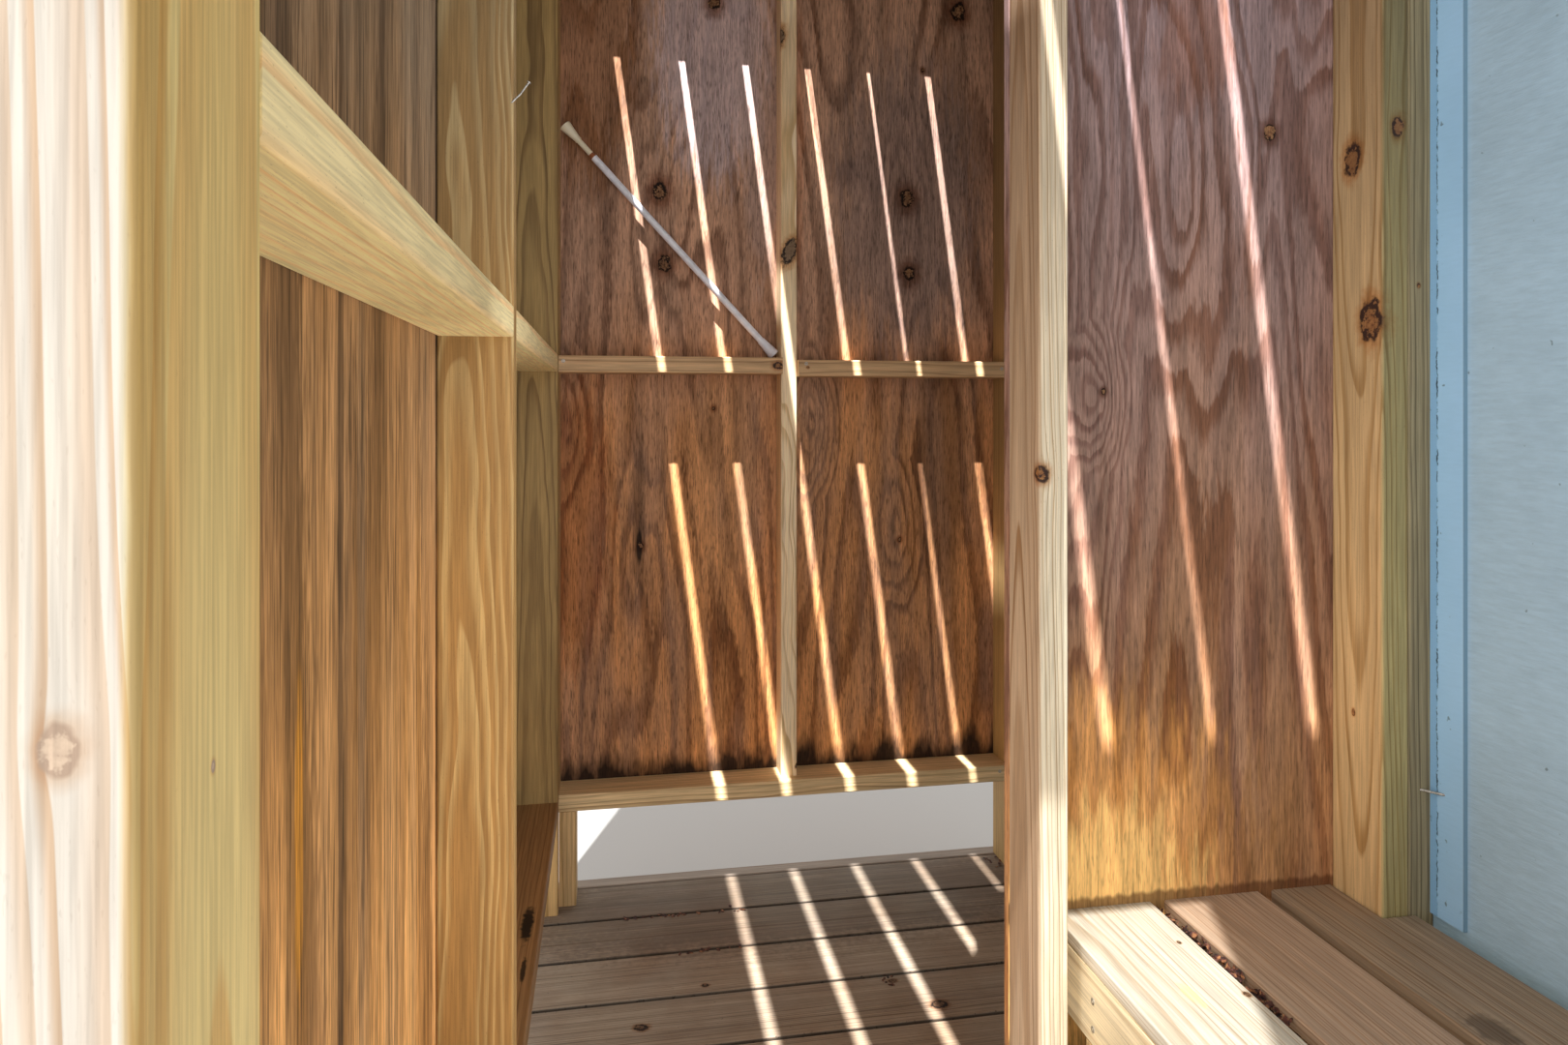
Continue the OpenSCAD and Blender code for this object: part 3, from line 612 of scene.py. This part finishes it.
def rough_plywood(node, early, late, cool, bands, lobes=0.3, loop=250, seed=0, knots=(), eyes=(),
                  stains_and_light=(), cool_share=0.6, mould=0.85, contrast=1.0, swirl=2.5, rise_at=0.32,
                  flow=0.09, check_dark=0.56, crack=2.7778, streaky=1.0, outside=("y", 1),
                  heart="#6A4630", chip="#96704E", halo="#9A7050"):
    """Rotary-cut pine plywood, unsanded: the knife peels the rings into broad contour lines
    and leaves the face dull, torn along the fibres and full of fine dark cracks.

    early and late give the colours of its two kinds of wood by height in metres, and
    their change with height is partly painted light: warm light from below, cooler light
    above. bands is the number of rings from one loop of them to the next, loop mm away,
    and lobes stretches the loops up the sheet. An eye is a closed loop: its place and half
    sizes in mm, and its rings. A crack is given by its width in mm. The outside face has
    the tone of one height all over, without that painted light."""
    tree = finish_material(node, "rough_plywood")
    low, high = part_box(node)
    place = add(tree, "TexCoord", {}, out="Object")
    bent, nearest = round_knots(tree, place, node, "z", knots, reach=swirl)
    straight = add(tree, "Mapping", {"Vector": place, "Location": (seed, seed, seed)})
    sheet = add(tree, "Mapping", {"Vector": bent, "Location": (seed, seed, seed)})
    slow = add(tree, "VectorMath", {0: sheet, 1: (1, 1, lobes)}, operation="MULTIPLY")

    field = add(tree, "TexNoise", {"Vector": slow, "Scale": 1 / (loop * MM), "Detail": 2,
                                   "Roughness": 0.42})
    years = add(tree, "Math", {0: field, 1: float(bands)}, operation="MULTIPLY")
    wobble = add(tree, "TexNoise", {"Vector": slow, "Scale": 1 / RING_WOBBLE, "Detail": 2})
    for spot, half, rings in eyes:
        away = reach_of(tree, place, node, spot, half)
        away = add(tree, "Math", {0: wobble, 1: 0.7, 2: away}, operation="MULTIPLY_ADD")
        rise = add(tree, "MapRange", {"Value": away, "From Min": 0.3, "From Max": 1.35,
                                      "To Min": float(rings), "To Max": 0})
        years = add(tree, "Math", {0: years, 1: rise}, operation="ADD")
    teeth = add(tree, "VectorMath", {0: straight, 1: (1, 1, 0.12)}, operation="MULTIPLY")
    teeth = add(tree, "TexNoise", {"Vector": teeth, "Scale": 1 / RING_TOOTH, "Detail": 2,
                                   "Roughness": 0.6})
    years = add(tree, "Math", {0: teeth, 1: 0.45, 2: years}, operation="MULTIPLY_ADD")
    lateness = late_wood(tree, years, 0.55 * contrast, contrast, rise=(rise_at, rise_at + 0.4),
                         fall=(0.9, 1.0))

    cloud = add(tree, "TexNoise", {"Vector": slow, "Scale": 1 / TONE_CLOUD, "Detail": 3,
                                   "Roughness": 0.6})
    height = add(tree, "SeparateXYZ", {0: place}, out=2)
    height = add(tree, "Math", {0: cloud, 1: 0.5, 2: height}, operation="MULTIPLY_ADD")
    height = add(tree, "Math", {0: height, 1: 0.25}, operation="SUBTRACT")
    axis, side = outside
    plane = (low if side < 0 else high)["xyz".index(axis)]
    weather = add(tree, "SeparateXYZ", {0: place}, out="xyz".index(axis))
    weather = add(tree, "MapRange", {"Value": weather, "From Min": plane, "From Max": plane - side * MM,
                                     "To Min": 1, "To Max": 0})
    height = add(tree, "Mix", {0: weather, 2: height, 3: WEATHERED_TONE})
    height = add(tree, "Math", {0: height, 1: TALLEST}, operation="DIVIDE")
    early_wood = add(tree, "ValToRGB", {"Fac": height}, stops=[(z / TALLEST, c) for z, c in early])
    dark_wood = add(tree, "ValToRGB", {"Fac": height}, stops=[(z / TALLEST, c) for z, c in late])
    wood = add(tree, "Mix", {0: lateness, 6: early_wood, 7: dark_wood}, out=2, data_type="RGBA")
    grey = patches(tree, slow, GREY_CLOUD, (0.42, 0.62), (0, cool_share), detail=3, roughness=0.6)
    wood = add(tree, "Mix", {0: grey, 6: wood, 7: linear(cool)}, out=2, data_type="RGBA")
    if stains_and_light:
        wood = stain_and_paint_light(tree, wood, place, node, stains_and_light)

    foot = add(tree, "SeparateXYZ", {0: place}, out=2)
    foot = add(tree, "MapRange", {"Value": foot, "From Min": low[2] + 0.01,
                                  "From Max": low[2] + MOULD_HEIGHT, "To Min": 0.62, "To Max": 0},
               interpolation_type="SMOOTHSTEP")
    blotch = add(tree, "VectorMath", {0: straight, 1: (1, 1, 0.35)}, operation="MULTIPLY")
    blotch = add(tree, "TexNoise", {"Vector": blotch, "Scale": 1 / MOULD_BLOTCH, "Detail": 3,
                                    "Roughness": 0.65})
    foot = add(tree, "Math", {0: foot, 1: blotch}, operation="ADD")
    foot = add(tree, "MapRange", {"Value": foot, "From Min": 0.63, "From Max": 1.0, "To Max": mould})
    wood = add(tree, "Mix", {0: foot, 6: wood, 7: linear(MOULD_COLOUR)}, out=2, data_type="RGBA")
    if knots:
        wood = paint_knots(tree, wood, place, nearest, KNOT_RING_COLOUR, heart, chip, halo, spread=3.0)

    thread = add(tree, "VectorMath", {0: straight, 1: (1, 1, 0.05)}, operation="MULTIPLY")
    fibre = add(tree, "TexNoise", {"Vector": thread, "Scale": 1 / VENEER_FIBRE, "Detail": 3,
                                   "Roughness": 0.65})
    light = add(tree, "MapRange", {"Value": fibre, "From Min": 0.34, "From Max": 0.64,
                                   "To Min": 0.72, "To Max": 1.24})
    streak = patches(tree, straight, VENEER_STREAK, (0.34, 0.64),
                     (1 - 0.24 * streaky, 1 + 0.16 * streaky), stretch=(1, 1, flow), detail=4,
                     roughness=0.7)
    light = add(tree, "Math", {0: light, 1: streak}, operation="MULTIPLY")
    check = patches(tree, straight, crack * MM, (0.53, 0.66), (1.04, check_dark),
                    stretch=(1, 1, flow * 1.2), roughness=0.6)
    light = add(tree, "Math", {0: light, 1: check}, operation="MULTIPLY")
    wood = add(tree, "HueSaturation", {"Color": wood, "Value": light})
    bump = add(tree, "Bump", {"Height": fibre, "Strength": 0.4, "Distance": 0.6 * MM})
    shader = tree.nodes["Principled BSDF"]
    shader.inputs["Roughness"].default_value = 0.78
    shader.inputs["Specular IOR Level"].default_value = 0.25
    tree.links.new(wood, shader.inputs["Base Color"])
    tree.links.new(bump, shader.inputs["Normal"])


# A near-black line along the middle stud's front edge is painted shadow: the dark gap between stud and
# sheet.
rough_plywood("left_sheathing_front", LEFT_EARLY, LEFT_LATE, LEFT_GREY, seed=1.3, **LEFT_FACE,
              stains_and_light=[((15, 528, 700), (3, 10, 900), "#4C3826", 0.65),
                      ((15, 590, 800), (3, 16, 700), "#7E6A54", 0.4),
                      ((15, 300, 700), (3, 90, 900), "#6A5034", 0.25),
                      ((15, 936, 980), (3, 4.2, 3000), "#0C0806", 1.0),
                      ((15, 427, 610), (3, 11, 130), "#E09A3A", 0.95)])
rough_plywood("left_sheathing_back", LEFT_EARLY, LEFT_LATE, LEFT_GREY, seed=2.1, **LEFT_FACE)

# Plywood on the back wall: one wide sheet and a filler strip beside it, of the same
# rotary-cut pine in a redder veneer, with small dark knots and mould along its foot. Its
# change of colour with height and the pale grey patch up high are partly painted light:
# warm light from below and cooler light from above.
BACK_EARLY = [(0.35, "#D2925A"), (1.2, "#C68C5C"), (1.5, "#C2967A"), (2.1, "#C69A7E")]
BACK_LATE = [(0.35, "#7E4C28"), (1.2, "#70482C"), (1.5, "#6C4834"), (2.1, "#744E38")]

rough_plywood("back_sheathing", BACK_EARLY, BACK_LATE, "#A48470", bands=15, lobes=0.14, loop=294.12,
              seed=3.4, contrast=0.9, cool_share=0.5, rise_at=0.4, mould=0.95,
              knots=[(316, 0, 1414, 17, -1.8), (327, 0, 1245, 15, -1.8),
                     (923, 0, 1421, 17, -2.0), (928, 0, 1235, 15, -2.0),
                     (446, 0, 1868, 14, -1.0), (1056, 0, 1892, 18, -1.4), (272, 0, 579, 6, -3.5),
                     (904, 0, 579, 4, -3.5), (444, 0, 902, 4, -0.5), (963, 0, 1740, 4, 0)],
              eyes=[((112, 0, 850), (60, 3, 210), 3), ((690, 0, 865), (60, 3, 200), 5),
                    ((320, 0, 1380), (90, 3, 330), 3), ((925, 0, 1380), (80, 3, 330), 4),
                    ((268, 0, 560), (70, 3, 260), 2), ((905, 0, 600), (60, 3, 220), 4)],
              stains_and_light=[((440, 0, 1790), (170, 3, 420), "#CAB6B8", 0.7),
                      ((560, 0, 1560), (60, 3, 420), "#BAA096", 0.5),
                      ((920, 0, 1400), (230, 3, 460), "#84706A", 0.6),
                      ((150, 0, 1750), (140, 3, 420), "#86562E", 0.6),
                      ((120, 0, 650), (110, 3, 420), "#904C22", 0.45),
                      ((470, 0, 760), (100, 3, 420), "#D09C6E", 0.3),
                      ((1010, 0, 750), (80, 3, 420), "#5C3C28", 0.4),
                      ((268, 0, 640), (18, 3, 260), "#3A281C", 0.5),
                      ((268, 0, 575), (9, 3, 55), "#120B07", 0.9),
                      ((640, 0, 1560), (30, 3, 500), "#B0683A", 0.3)])
rough_plywood("back_filler_strip", BACK_EARLY, BACK_LATE, "#9C8078", bands=7, lobes=0.1, seed=4.2)

# Plywood on the partition: a showy veneer with broad swirling rings. Its grey up high is
# partly painted light, and the golden wash at its foot is a painted reflection of the sun
# on the bench. A dark band where it meets the bench top is painted shade.
PARTITION_EARLY = [(0.5, "#E2A66A"), (0.9, "#9C7252"), (1.45, "#92746A"), (2.1, "#948086")]
PARTITION_LATE = [(0.5, "#A0622C"), (0.9, "#704222"), (1.45, "#623C2A"), (2.1, "#684436")]

rough_plywood("partition_sheathing", PARTITION_EARLY, PARTITION_LATE, "#8A787A", bands=17,
              lobes=0.13, loop=217.39, seed=5.7, cool_share=0.25, mould=0.6, swirl=5.0,
              contrast=0.9, check_dark=0.72,
              knots=[(376, 0, 1272, 8, -2.4), (132, 0, 918, 3, -1.5)],
              eyes=[((52, 0, 1090), (125, 3, 640), 8), ((126, 0, 912), (55, 3, 110), 5),
                    ((470, 0, 1560), (110, 3, 260), 4), ((250, 0, 1160), (90, 3, 330), 4)],
              stains_and_light=[((120, 0, 230), (300, 3, 330), "#E8A458", 0.5),
                      ((110, 0, 170), (230, 3, 240), "#FFD084", 0.88),
                      ((430, 0, 300), (130, 3, 260), "#946A48", 0.4),
                      ((264, 0, 1391), (70, 3, 110), "#80523C", 0.5),
                      ((300, 0, 243), (900, 3, 16), "#5A3016", 0.7)])

# Plywood on the party wall: the sheets of the neighbouring building's side, which face
# away from the cabin.
rough_plywood("party_sheathing", LEFT_EARLY, LEFT_LATE, LEFT_GREY, bands=8, lobes=0.08, seed=6.6,
              mould=0.5, outside=("x", 1))

# Painted siding: rough-sawn panel under flat blue exterior paint, and a smooth trim
# strip in a clearer blue beside the partition, caulked along its edge.
SAW_MARK = 4.1667 * MM
PAINT_CLOUD = 200 * MM
DENT = 14.286 * MM
CRACK_WAVE = 7.6923 * MM
TRIM_CRACK = 11 * MM
HALF_CRACK = 1.5 * MM
SOFT_EDGE = 0.5 * MM
CRACK_SWAY = 3 * MM
DENT_COLOUR = "#56646C"
CAULK_COLOUR = "#5E97C4"
CRACK_COLOUR = "#1C3242"
TRIM_SIDE_SHADE = "#6C8898"


def blue_paint(node, colour, faded, sawn_height, caulked=False):
    """Flat exterior paint over board: it has no gloss, so the saw marks under it show as fine
    lines across the light, which are bumps and painted shade in its colour, with faded clouds
    and a few dark dents. The trim's side face is painted darker: painted shade."""
    tree = finish_material(node, "flat_blue_paint")
    low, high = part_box(node)
    place = add(tree, "TexCoord", {}, out="Object")
    sawn = add(tree, "VectorMath", {0: place, 1: (1, 0.16, 1)}, operation="MULTIPLY")
    sawn = add(tree, "TexNoise", {"Vector": sawn, "Scale": 1 / SAW_MARK, "Detail": 4, "Roughness": 0.6})
    cloud = patches(tree, place, PAINT_CLOUD, (0.35, 0.7), (0, 0.6), detail=5)
    paint = add(tree, "Mix", {0: cloud, 6: linear(colour), 7: linear(faded)}, out=2, data_type="RGBA")
    dent = patches(tree, place, DENT, (0.73, 0.77), (0, 0.7))
    paint = add(tree, "Mix", {0: dent, 6: paint, 7: linear(DENT_COLOUR)}, out=2, data_type="RGBA")
    if caulked:
        along = add(tree, "SeparateXYZ", {0: place}, out=1)
        sway = patches(tree, place, CRACK_WAVE, (0, 1), (-CRACK_SWAY, CRACK_SWAY), detail=4)
        crack = add(tree, "Math", {0: along, 1: sway}, operation="ADD")
        joint = high[1] - TRIM_CRACK
        edge = add(tree, "MapRange", {"Value": crack, "From Min": joint - SOFT_EDGE,
                                      "From Max": joint + SOFT_EDGE, "To Max": 0.45})
        paint = add(tree, "Mix", {0: edge, 6: paint, 7: linear(CAULK_COLOUR)}, out=2, data_type="RGBA")
        crack = add(tree, "MapRange", {"Value": crack, "From Min": joint - HALF_CRACK,
                                       "From Max": joint + HALF_CRACK})
        crack = add(tree, "Math", {0: crack, 1: 0.5}, operation="PINGPONG")
        breaks = patches(tree, place, DENT, (0.46, 0.54), (0, 1), detail=5, roughness=0.7)
        line = add(tree, "MapRange", {"Value": crack, "From Min": 0.1, "From Max": 0.4})
        line = add(tree, "Math", {0: line, 1: breaks}, operation="MULTIPLY")
        paint = add(tree, "Mix", {0: line, 6: paint, 7: linear(CRACK_COLOUR)}, out=2, data_type="RGBA")
        # The trim's side face is painted a darker, greyer blue: painted shade.
        side = add(tree, "MapRange", {"Value": along, "From Min": low[1], "From Max": low[1] + MM,
                                      "To Min": 0.8, "To Max": 0})
        paint = add(tree, "Mix", {0: side, 6: paint, 7: linear(TRIM_SIDE_SHADE)}, out=2,
                    data_type="RGBA")
    # The colour darkens and lightens along the saw marks as their relief would: painted shade.
    light = add(tree, "MapRange", {"Value": sawn, "From Min": 0.3, "From Max": 0.7,
                                   "To Min": 1 - 0.09 * sawn_height, "To Max": 1 + 0.05 * sawn_height})
    paint = add(tree, "HueSaturation", {"Color": paint, "Value": light})
    bump = add(tree, "Bump", {"Height": sawn, "Strength": 0.6 * sawn_height, "Distance": 1.5 * MM})
    shader = tree.nodes["Principled BSDF"]
    shader.inputs["Roughness"].default_value = 0.6
    tree.links.new(paint, shader.inputs["Base Color"])
    tree.links.new(bump, shader.inputs["Normal"])


blue_paint("party_siding", "#ABCADF", "#9CB8CA", 1.0)
blue_paint("party_trim", "#A6D2F6", "#96C2E4", 0.3, caulked=True)

# Curtain rod: two steel tubes that slide in each other, with flared plastic caps. White
# enamel gives the wide tube a clean shine. The narrow one is cream and rusts at the joint.
ROD_LEAN = math.radians(43)
ROD_JOINT = 0.105
ROD_RUST = 0.005
ENAMEL_WEAR = 16.667 * MM
CREAM = "#EBE2C8"
RUST = "#9A5A34"

rod_low, rod_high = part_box("curtain_rod")
rod = finish_material("curtain_rod", "white_enamel")
shader = rod.nodes["Principled BSDF"]
place = add(rod, "TexCoord", {}, out="Object")
wear = add(rod, "TexNoise", {"Vector": place, "Scale": 1 / ENAMEL_WEAR, "Detail": 4})
enamel = add(rod, "ValToRGB", {"Fac": wear}, stops=[(0.4, "#F2F4FF"), (0.75, "#D8DAE6")])
from_head = add(rod, "VectorMath", {0: place, 1: (rod_low[0], 0, rod_high[2])}, operation="SUBTRACT")
from_head = add(rod, "VectorMath", {0: from_head, 1: (math.sin(ROD_LEAN), 0, -math.cos(ROD_LEAN))},
                out="Value", operation="DOT_PRODUCT")
narrow = add(rod, "MapRange", {"Value": from_head, "From Min": ROD_JOINT - MM,
                               "From Max": ROD_JOINT + MM, "To Min": 1, "To Max": 0})
enamel = add(rod, "Mix", {0: narrow, 6: enamel, 7: linear(CREAM)}, out=2, data_type="RGBA")
rusty = add(rod, "Math", {0: from_head, 1: ROD_JOINT, 2: ROD_RUST}, operation="COMPARE")
enamel = add(rod, "Mix", {0: rusty, 6: enamel, 7: linear(RUST)}, out=2, data_type="RGBA")
rod.links.new(enamel, shader.inputs["Base Color"])
shader.inputs["Roughness"].default_value = 0.3

# Screws: zinc-plated steel with flat heads, driven flush into the ends of the blocking,
# the sill and the bench rail. The plating is dull and blotched, with a soft grey glint.
SCREW_HEAD = 0.0042
SCREW_PROUD = 0.0004
SCREW_SIDES = 14
HEAD_DEPTH = 0.002
RECESS_DEPTH = 0.0012
TARNISH = 1.6667 * MM
SCREW_PLACES = [
    ((-0.5725, 0.9105, 1.344), "-y"), ((0.462, 0.9105, 1.335), "-y"),
    ((-0.02, 0.9105, 1.343), "-y"), ((0.457, 0.9105, 0.362), "-y"),
    ((0.0985, -0.2265, 0.5255), "-x"), ((0.0985, -0.2265, 0.492), "-x"),
]
FACING = {"-x": Matrix.Rotation(-math.pi / 2, 4, "Y"), "-y": Matrix.Rotation(math.pi / 2, 4, "X"),
          "+y": Matrix.Rotation(-math.pi / 2, 4, "X")}


def keep_piece(shape, name, material):
    """Makes a mesh piece of a finished bmesh, which rides on the cabin."""
    bmesh.ops.remove_doubles(shape, verts=shape.verts, dist=0.01 * MM)
    bmesh.ops.recalc_face_normals(shape, faces=shape.faces)
    mesh = bpy.data.meshes.new(name)
    shape.to_mesh(mesh)
    shape.free()
    mesh.materials.append(material)
    made = bpy.data.objects.new(name, mesh)
    bpy.context.collection.objects.link(made)
    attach(made, "root")


def metal_head(shape, place, facing, radius, proud, sides, recess=False):
    """Adds a round head to a bmesh: a short plug that narrows to the front, and the
    driver's recess in it if it is a screw's."""
    seat = Matrix.Translation(place) @ FACING[facing]
    made = bmesh.ops.create_cone(shape, cap_ends=True, segments=sides, radius1=radius,
                                 radius2=radius * 0.9, depth=HEAD_DEPTH,
                                 matrix=seat @ Matrix.Translation((0, 0, proud - HEAD_DEPTH / 2)))
    if recess:
        crown = max({face for vert in made["verts"] for face in vert.link_faces},
                    key=lambda face: (seat.inverted() @ face.calc_center_median()).z)
        bmesh.ops.inset_individual(shape, faces=[crown], thickness=radius * 0.5)
        sunk = bmesh.ops.extrude_discrete_faces(shape, faces=[crown])["faces"][0]
        bmesh.ops.translate(shape, verts=sunk.verts, vec=seat.to_3x3() @ Vector((0, 0, -RECESS_DEPTH)))


zinc = bpy.data.materials.new("dull_zinc_plate")
zinc.use_nodes = True
shader = zinc.node_tree.nodes["Principled BSDF"]
place = add(zinc.node_tree, "TexCoord", {}, out="Object")
tarnish = add(zinc.node_tree, "TexNoise", {"Vector": place, "Scale": 1 / TARNISH, "Detail": 3})
tarnish = add(zinc.node_tree, "ValToRGB", {"Fac": tarnish}, stops=[(0.4, "#C8C6C0"), (0.65, "#86827A")])
zinc.node_tree.links.new(tarnish, shader.inputs["Base Color"])
shader.inputs["Metallic"].default_value = 0.85
shader.inputs["Roughness"].default_value = 0.42

screws = bmesh.new()
for place, facing in SCREW_PLACES:
    metal_head(screws, place, facing, SCREW_HEAD, SCREW_PROUD, SCREW_SIDES, recess=True)
keep_piece(screws, "flush_screws", zinc)

# Sheathing nails: round wire nails with flat heads, which hold the plywood to the
# plates and studs behind it and show as rows on the outside of the walls.
NAIL_HEAD = 0.0045
NAIL_PROUD = 0.0007
NAIL_SIDES = 10
NAIL_STEP = 0.19
STUD_MIDDLE = 0.019
POST_MIDDLE = 0.045
SHEET_EDGE = 0.008

left_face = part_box("left_sheathing_front")[0][0]
back_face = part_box("back_sheathing")[1][1]
wall_foot, wall_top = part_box("back_sheathing")[0][2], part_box("back_sheathing")[1][2]
rows = round((wall_top - wall_foot) / NAIL_STEP)
left_lines = [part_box("left_entrance_post")[0][1] + POST_MIDDLE,
              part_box("left_middle_stud")[0][1] + SHEET_EDGE,
              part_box("left_middle_stud")[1][1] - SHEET_EDGE,
              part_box("left_corner_stud")[0][1] + STUD_MIDDLE]
back_lines = [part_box("back_corner_stud")[0][0] + STUD_MIDDLE,
              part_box("back_centre_stud")[0][0] + STUD_MIDDLE,
              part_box("back_end_stud")[0][0] + SHEET_EDGE,
              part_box("back_wall_stud")[0][0] + STUD_MIDDLE]

nails = bmesh.new()
for i in range(rows + 1):
    height = wall_foot + STUD_MIDDLE + i * (wall_top - wall_foot - 2 * STUD_MIDDLE) / rows
    for line in left_lines:
        metal_head(nails, (left_face, line, height), "-x", NAIL_HEAD, NAIL_PROUD, NAIL_SIDES)
    for line in back_lines:
        metal_head(nails, (line, back_face, height), "+y", NAIL_HEAD, NAIL_PROUD, NAIL_SIDES)
keep_piece(nails, "sheathing_nails", zinc)

# Stray nails: a thin bright finishing nail that missed and stands bent out of the
# middle stud's edge, and a nail that shows where it crosses from stud to trim.
STRAY_NAILS = [
    {"shank": 0.0011, "head": 0.0027,
     "path": [(-0.5855, -0.0895, 1.6015), (-0.5745, -0.0905, 1.6125), (-0.5645, -0.0915, 1.627)]},
    {"shank": 0.0016, "head": 0.0,
     "path": [(0.5655, -0.2075, 0.739), (0.5725, -0.2185, 0.7392), (0.5805, -0.23, 0.7394)]},
]
STRAY_HEAD_DEPTH = 0.0012
BEND_OVERLAP = 1.06

strays = bmesh.new()
for nail in STRAY_NAILS:
    path = [Vector(point) for point in nail["path"]]
    for start, end in zip(path, path[1:]):
        run = end - start
        turn = run.to_track_quat("Z", "Y").to_matrix().to_4x4()
        bmesh.ops.create_cone(strays, cap_ends=True, segments=12, radius1=nail["shank"],
                              radius2=nail["shank"], depth=run.length * BEND_OVERLAP,
                              matrix=Matrix.Translation((start + end) / 2) @ turn)
    if nail["head"]:
        bmesh.ops.create_cone(strays, cap_ends=True, segments=16, radius1=nail["head"],
                              radius2=nail["head"] * 0.9, depth=STRAY_HEAD_DEPTH,
                              matrix=Matrix.Translation(path[-1]) @ turn)
keep_piece(strays, "stray_nails", zinc)

# Leaf litter: flakes of dry leaf and bark, matt and mottled brown, that fell between the
# bench boards and along the seams of the deck and lie where the gaps caught them.
LITTER_SEED = 7
FLAKE_SIZES = (0.0018, 0.0042)
FLAKE_DEPTH = 0.0006
FLAKE_MOTTLE = 6.25 * MM
LITTER_PATCHES = [
    {"count": 190, "tilt": 1.2, "low": (0.2395, -0.37, 0.561), "high": (0.2565, -0.122, 0.575)},
    {"count": 26, "tilt": 0.06, "low": (-0.44, 0.826, 0.128), "high": (-0.27, 0.838, 0.1285)},
    {"count": 16, "tilt": 0.06, "low": (-0.35, 0.674, 0.128), "high": (-0.2, 0.686, 0.1285)},
    {"count": 9, "tilt": 0.06, "low": (-0.24, 0.82, 0.128), "high": (-0.16, 0.85, 0.1285)},
    {"count": 26, "tilt": 0.06, "low": (0.44, 0.905, 0.128), "high": (0.53, 0.97, 0.1285)},
    {"count": 8, "tilt": 0.06, "low": (0.05, 0.49, 0.128), "high": (0.085, 0.535, 0.1285)},
]

random.seed(LITTER_SEED)
litter = bmesh.new()
for patch in LITTER_PATCHES:
    tilt = patch["tilt"]
    for _ in range(patch["count"]):
        spot = [random.uniform(a, b) for a, b in zip(patch["low"], patch["high"])]
        size = random.uniform(*FLAKE_SIZES)
        seat = (Matrix.Translation(spot)
                @ Euler((random.uniform(-tilt, tilt), random.uniform(-tilt, tilt),
                         random.uniform(0, math.tau))).to_matrix().to_4x4()
                @ Matrix.Diagonal((random.uniform(1.0, 2.2), 1, 1, 1)))
        flake = bmesh.ops.create_cone(litter, cap_ends=True, segments=random.choice((5, 6, 7)),
                                      radius1=size, radius2=size * 0.8, depth=FLAKE_DEPTH, matrix=seat)
        for vert in flake["verts"]:
            vert.co += Vector([random.uniform(-0.2, 0.2) * size for _ in range(3)])
leaf = bpy.data.materials.new("dry_leaf_litter")
leaf.use_nodes = True
shader = leaf.node_tree.nodes["Principled BSDF"]
place = add(leaf.node_tree, "TexCoord", {}, out="Object")
mottled = add(leaf.node_tree, "TexNoise", {"Vector": place, "Scale": 1 / FLAKE_MOTTLE, "Detail": 2})
mottled = add(leaf.node_tree, "ValToRGB", {"Fac": mottled},
              stops=[(0.35, "#1E120E"), (0.54, "#5C3226"), (0.66, "#A87248")])
leaf.node_tree.links.new(mottled, shader.inputs["Base Color"])
shader.inputs["Roughness"].default_value = 0.8
keep_piece(litter, "leaf_litter", leaf)
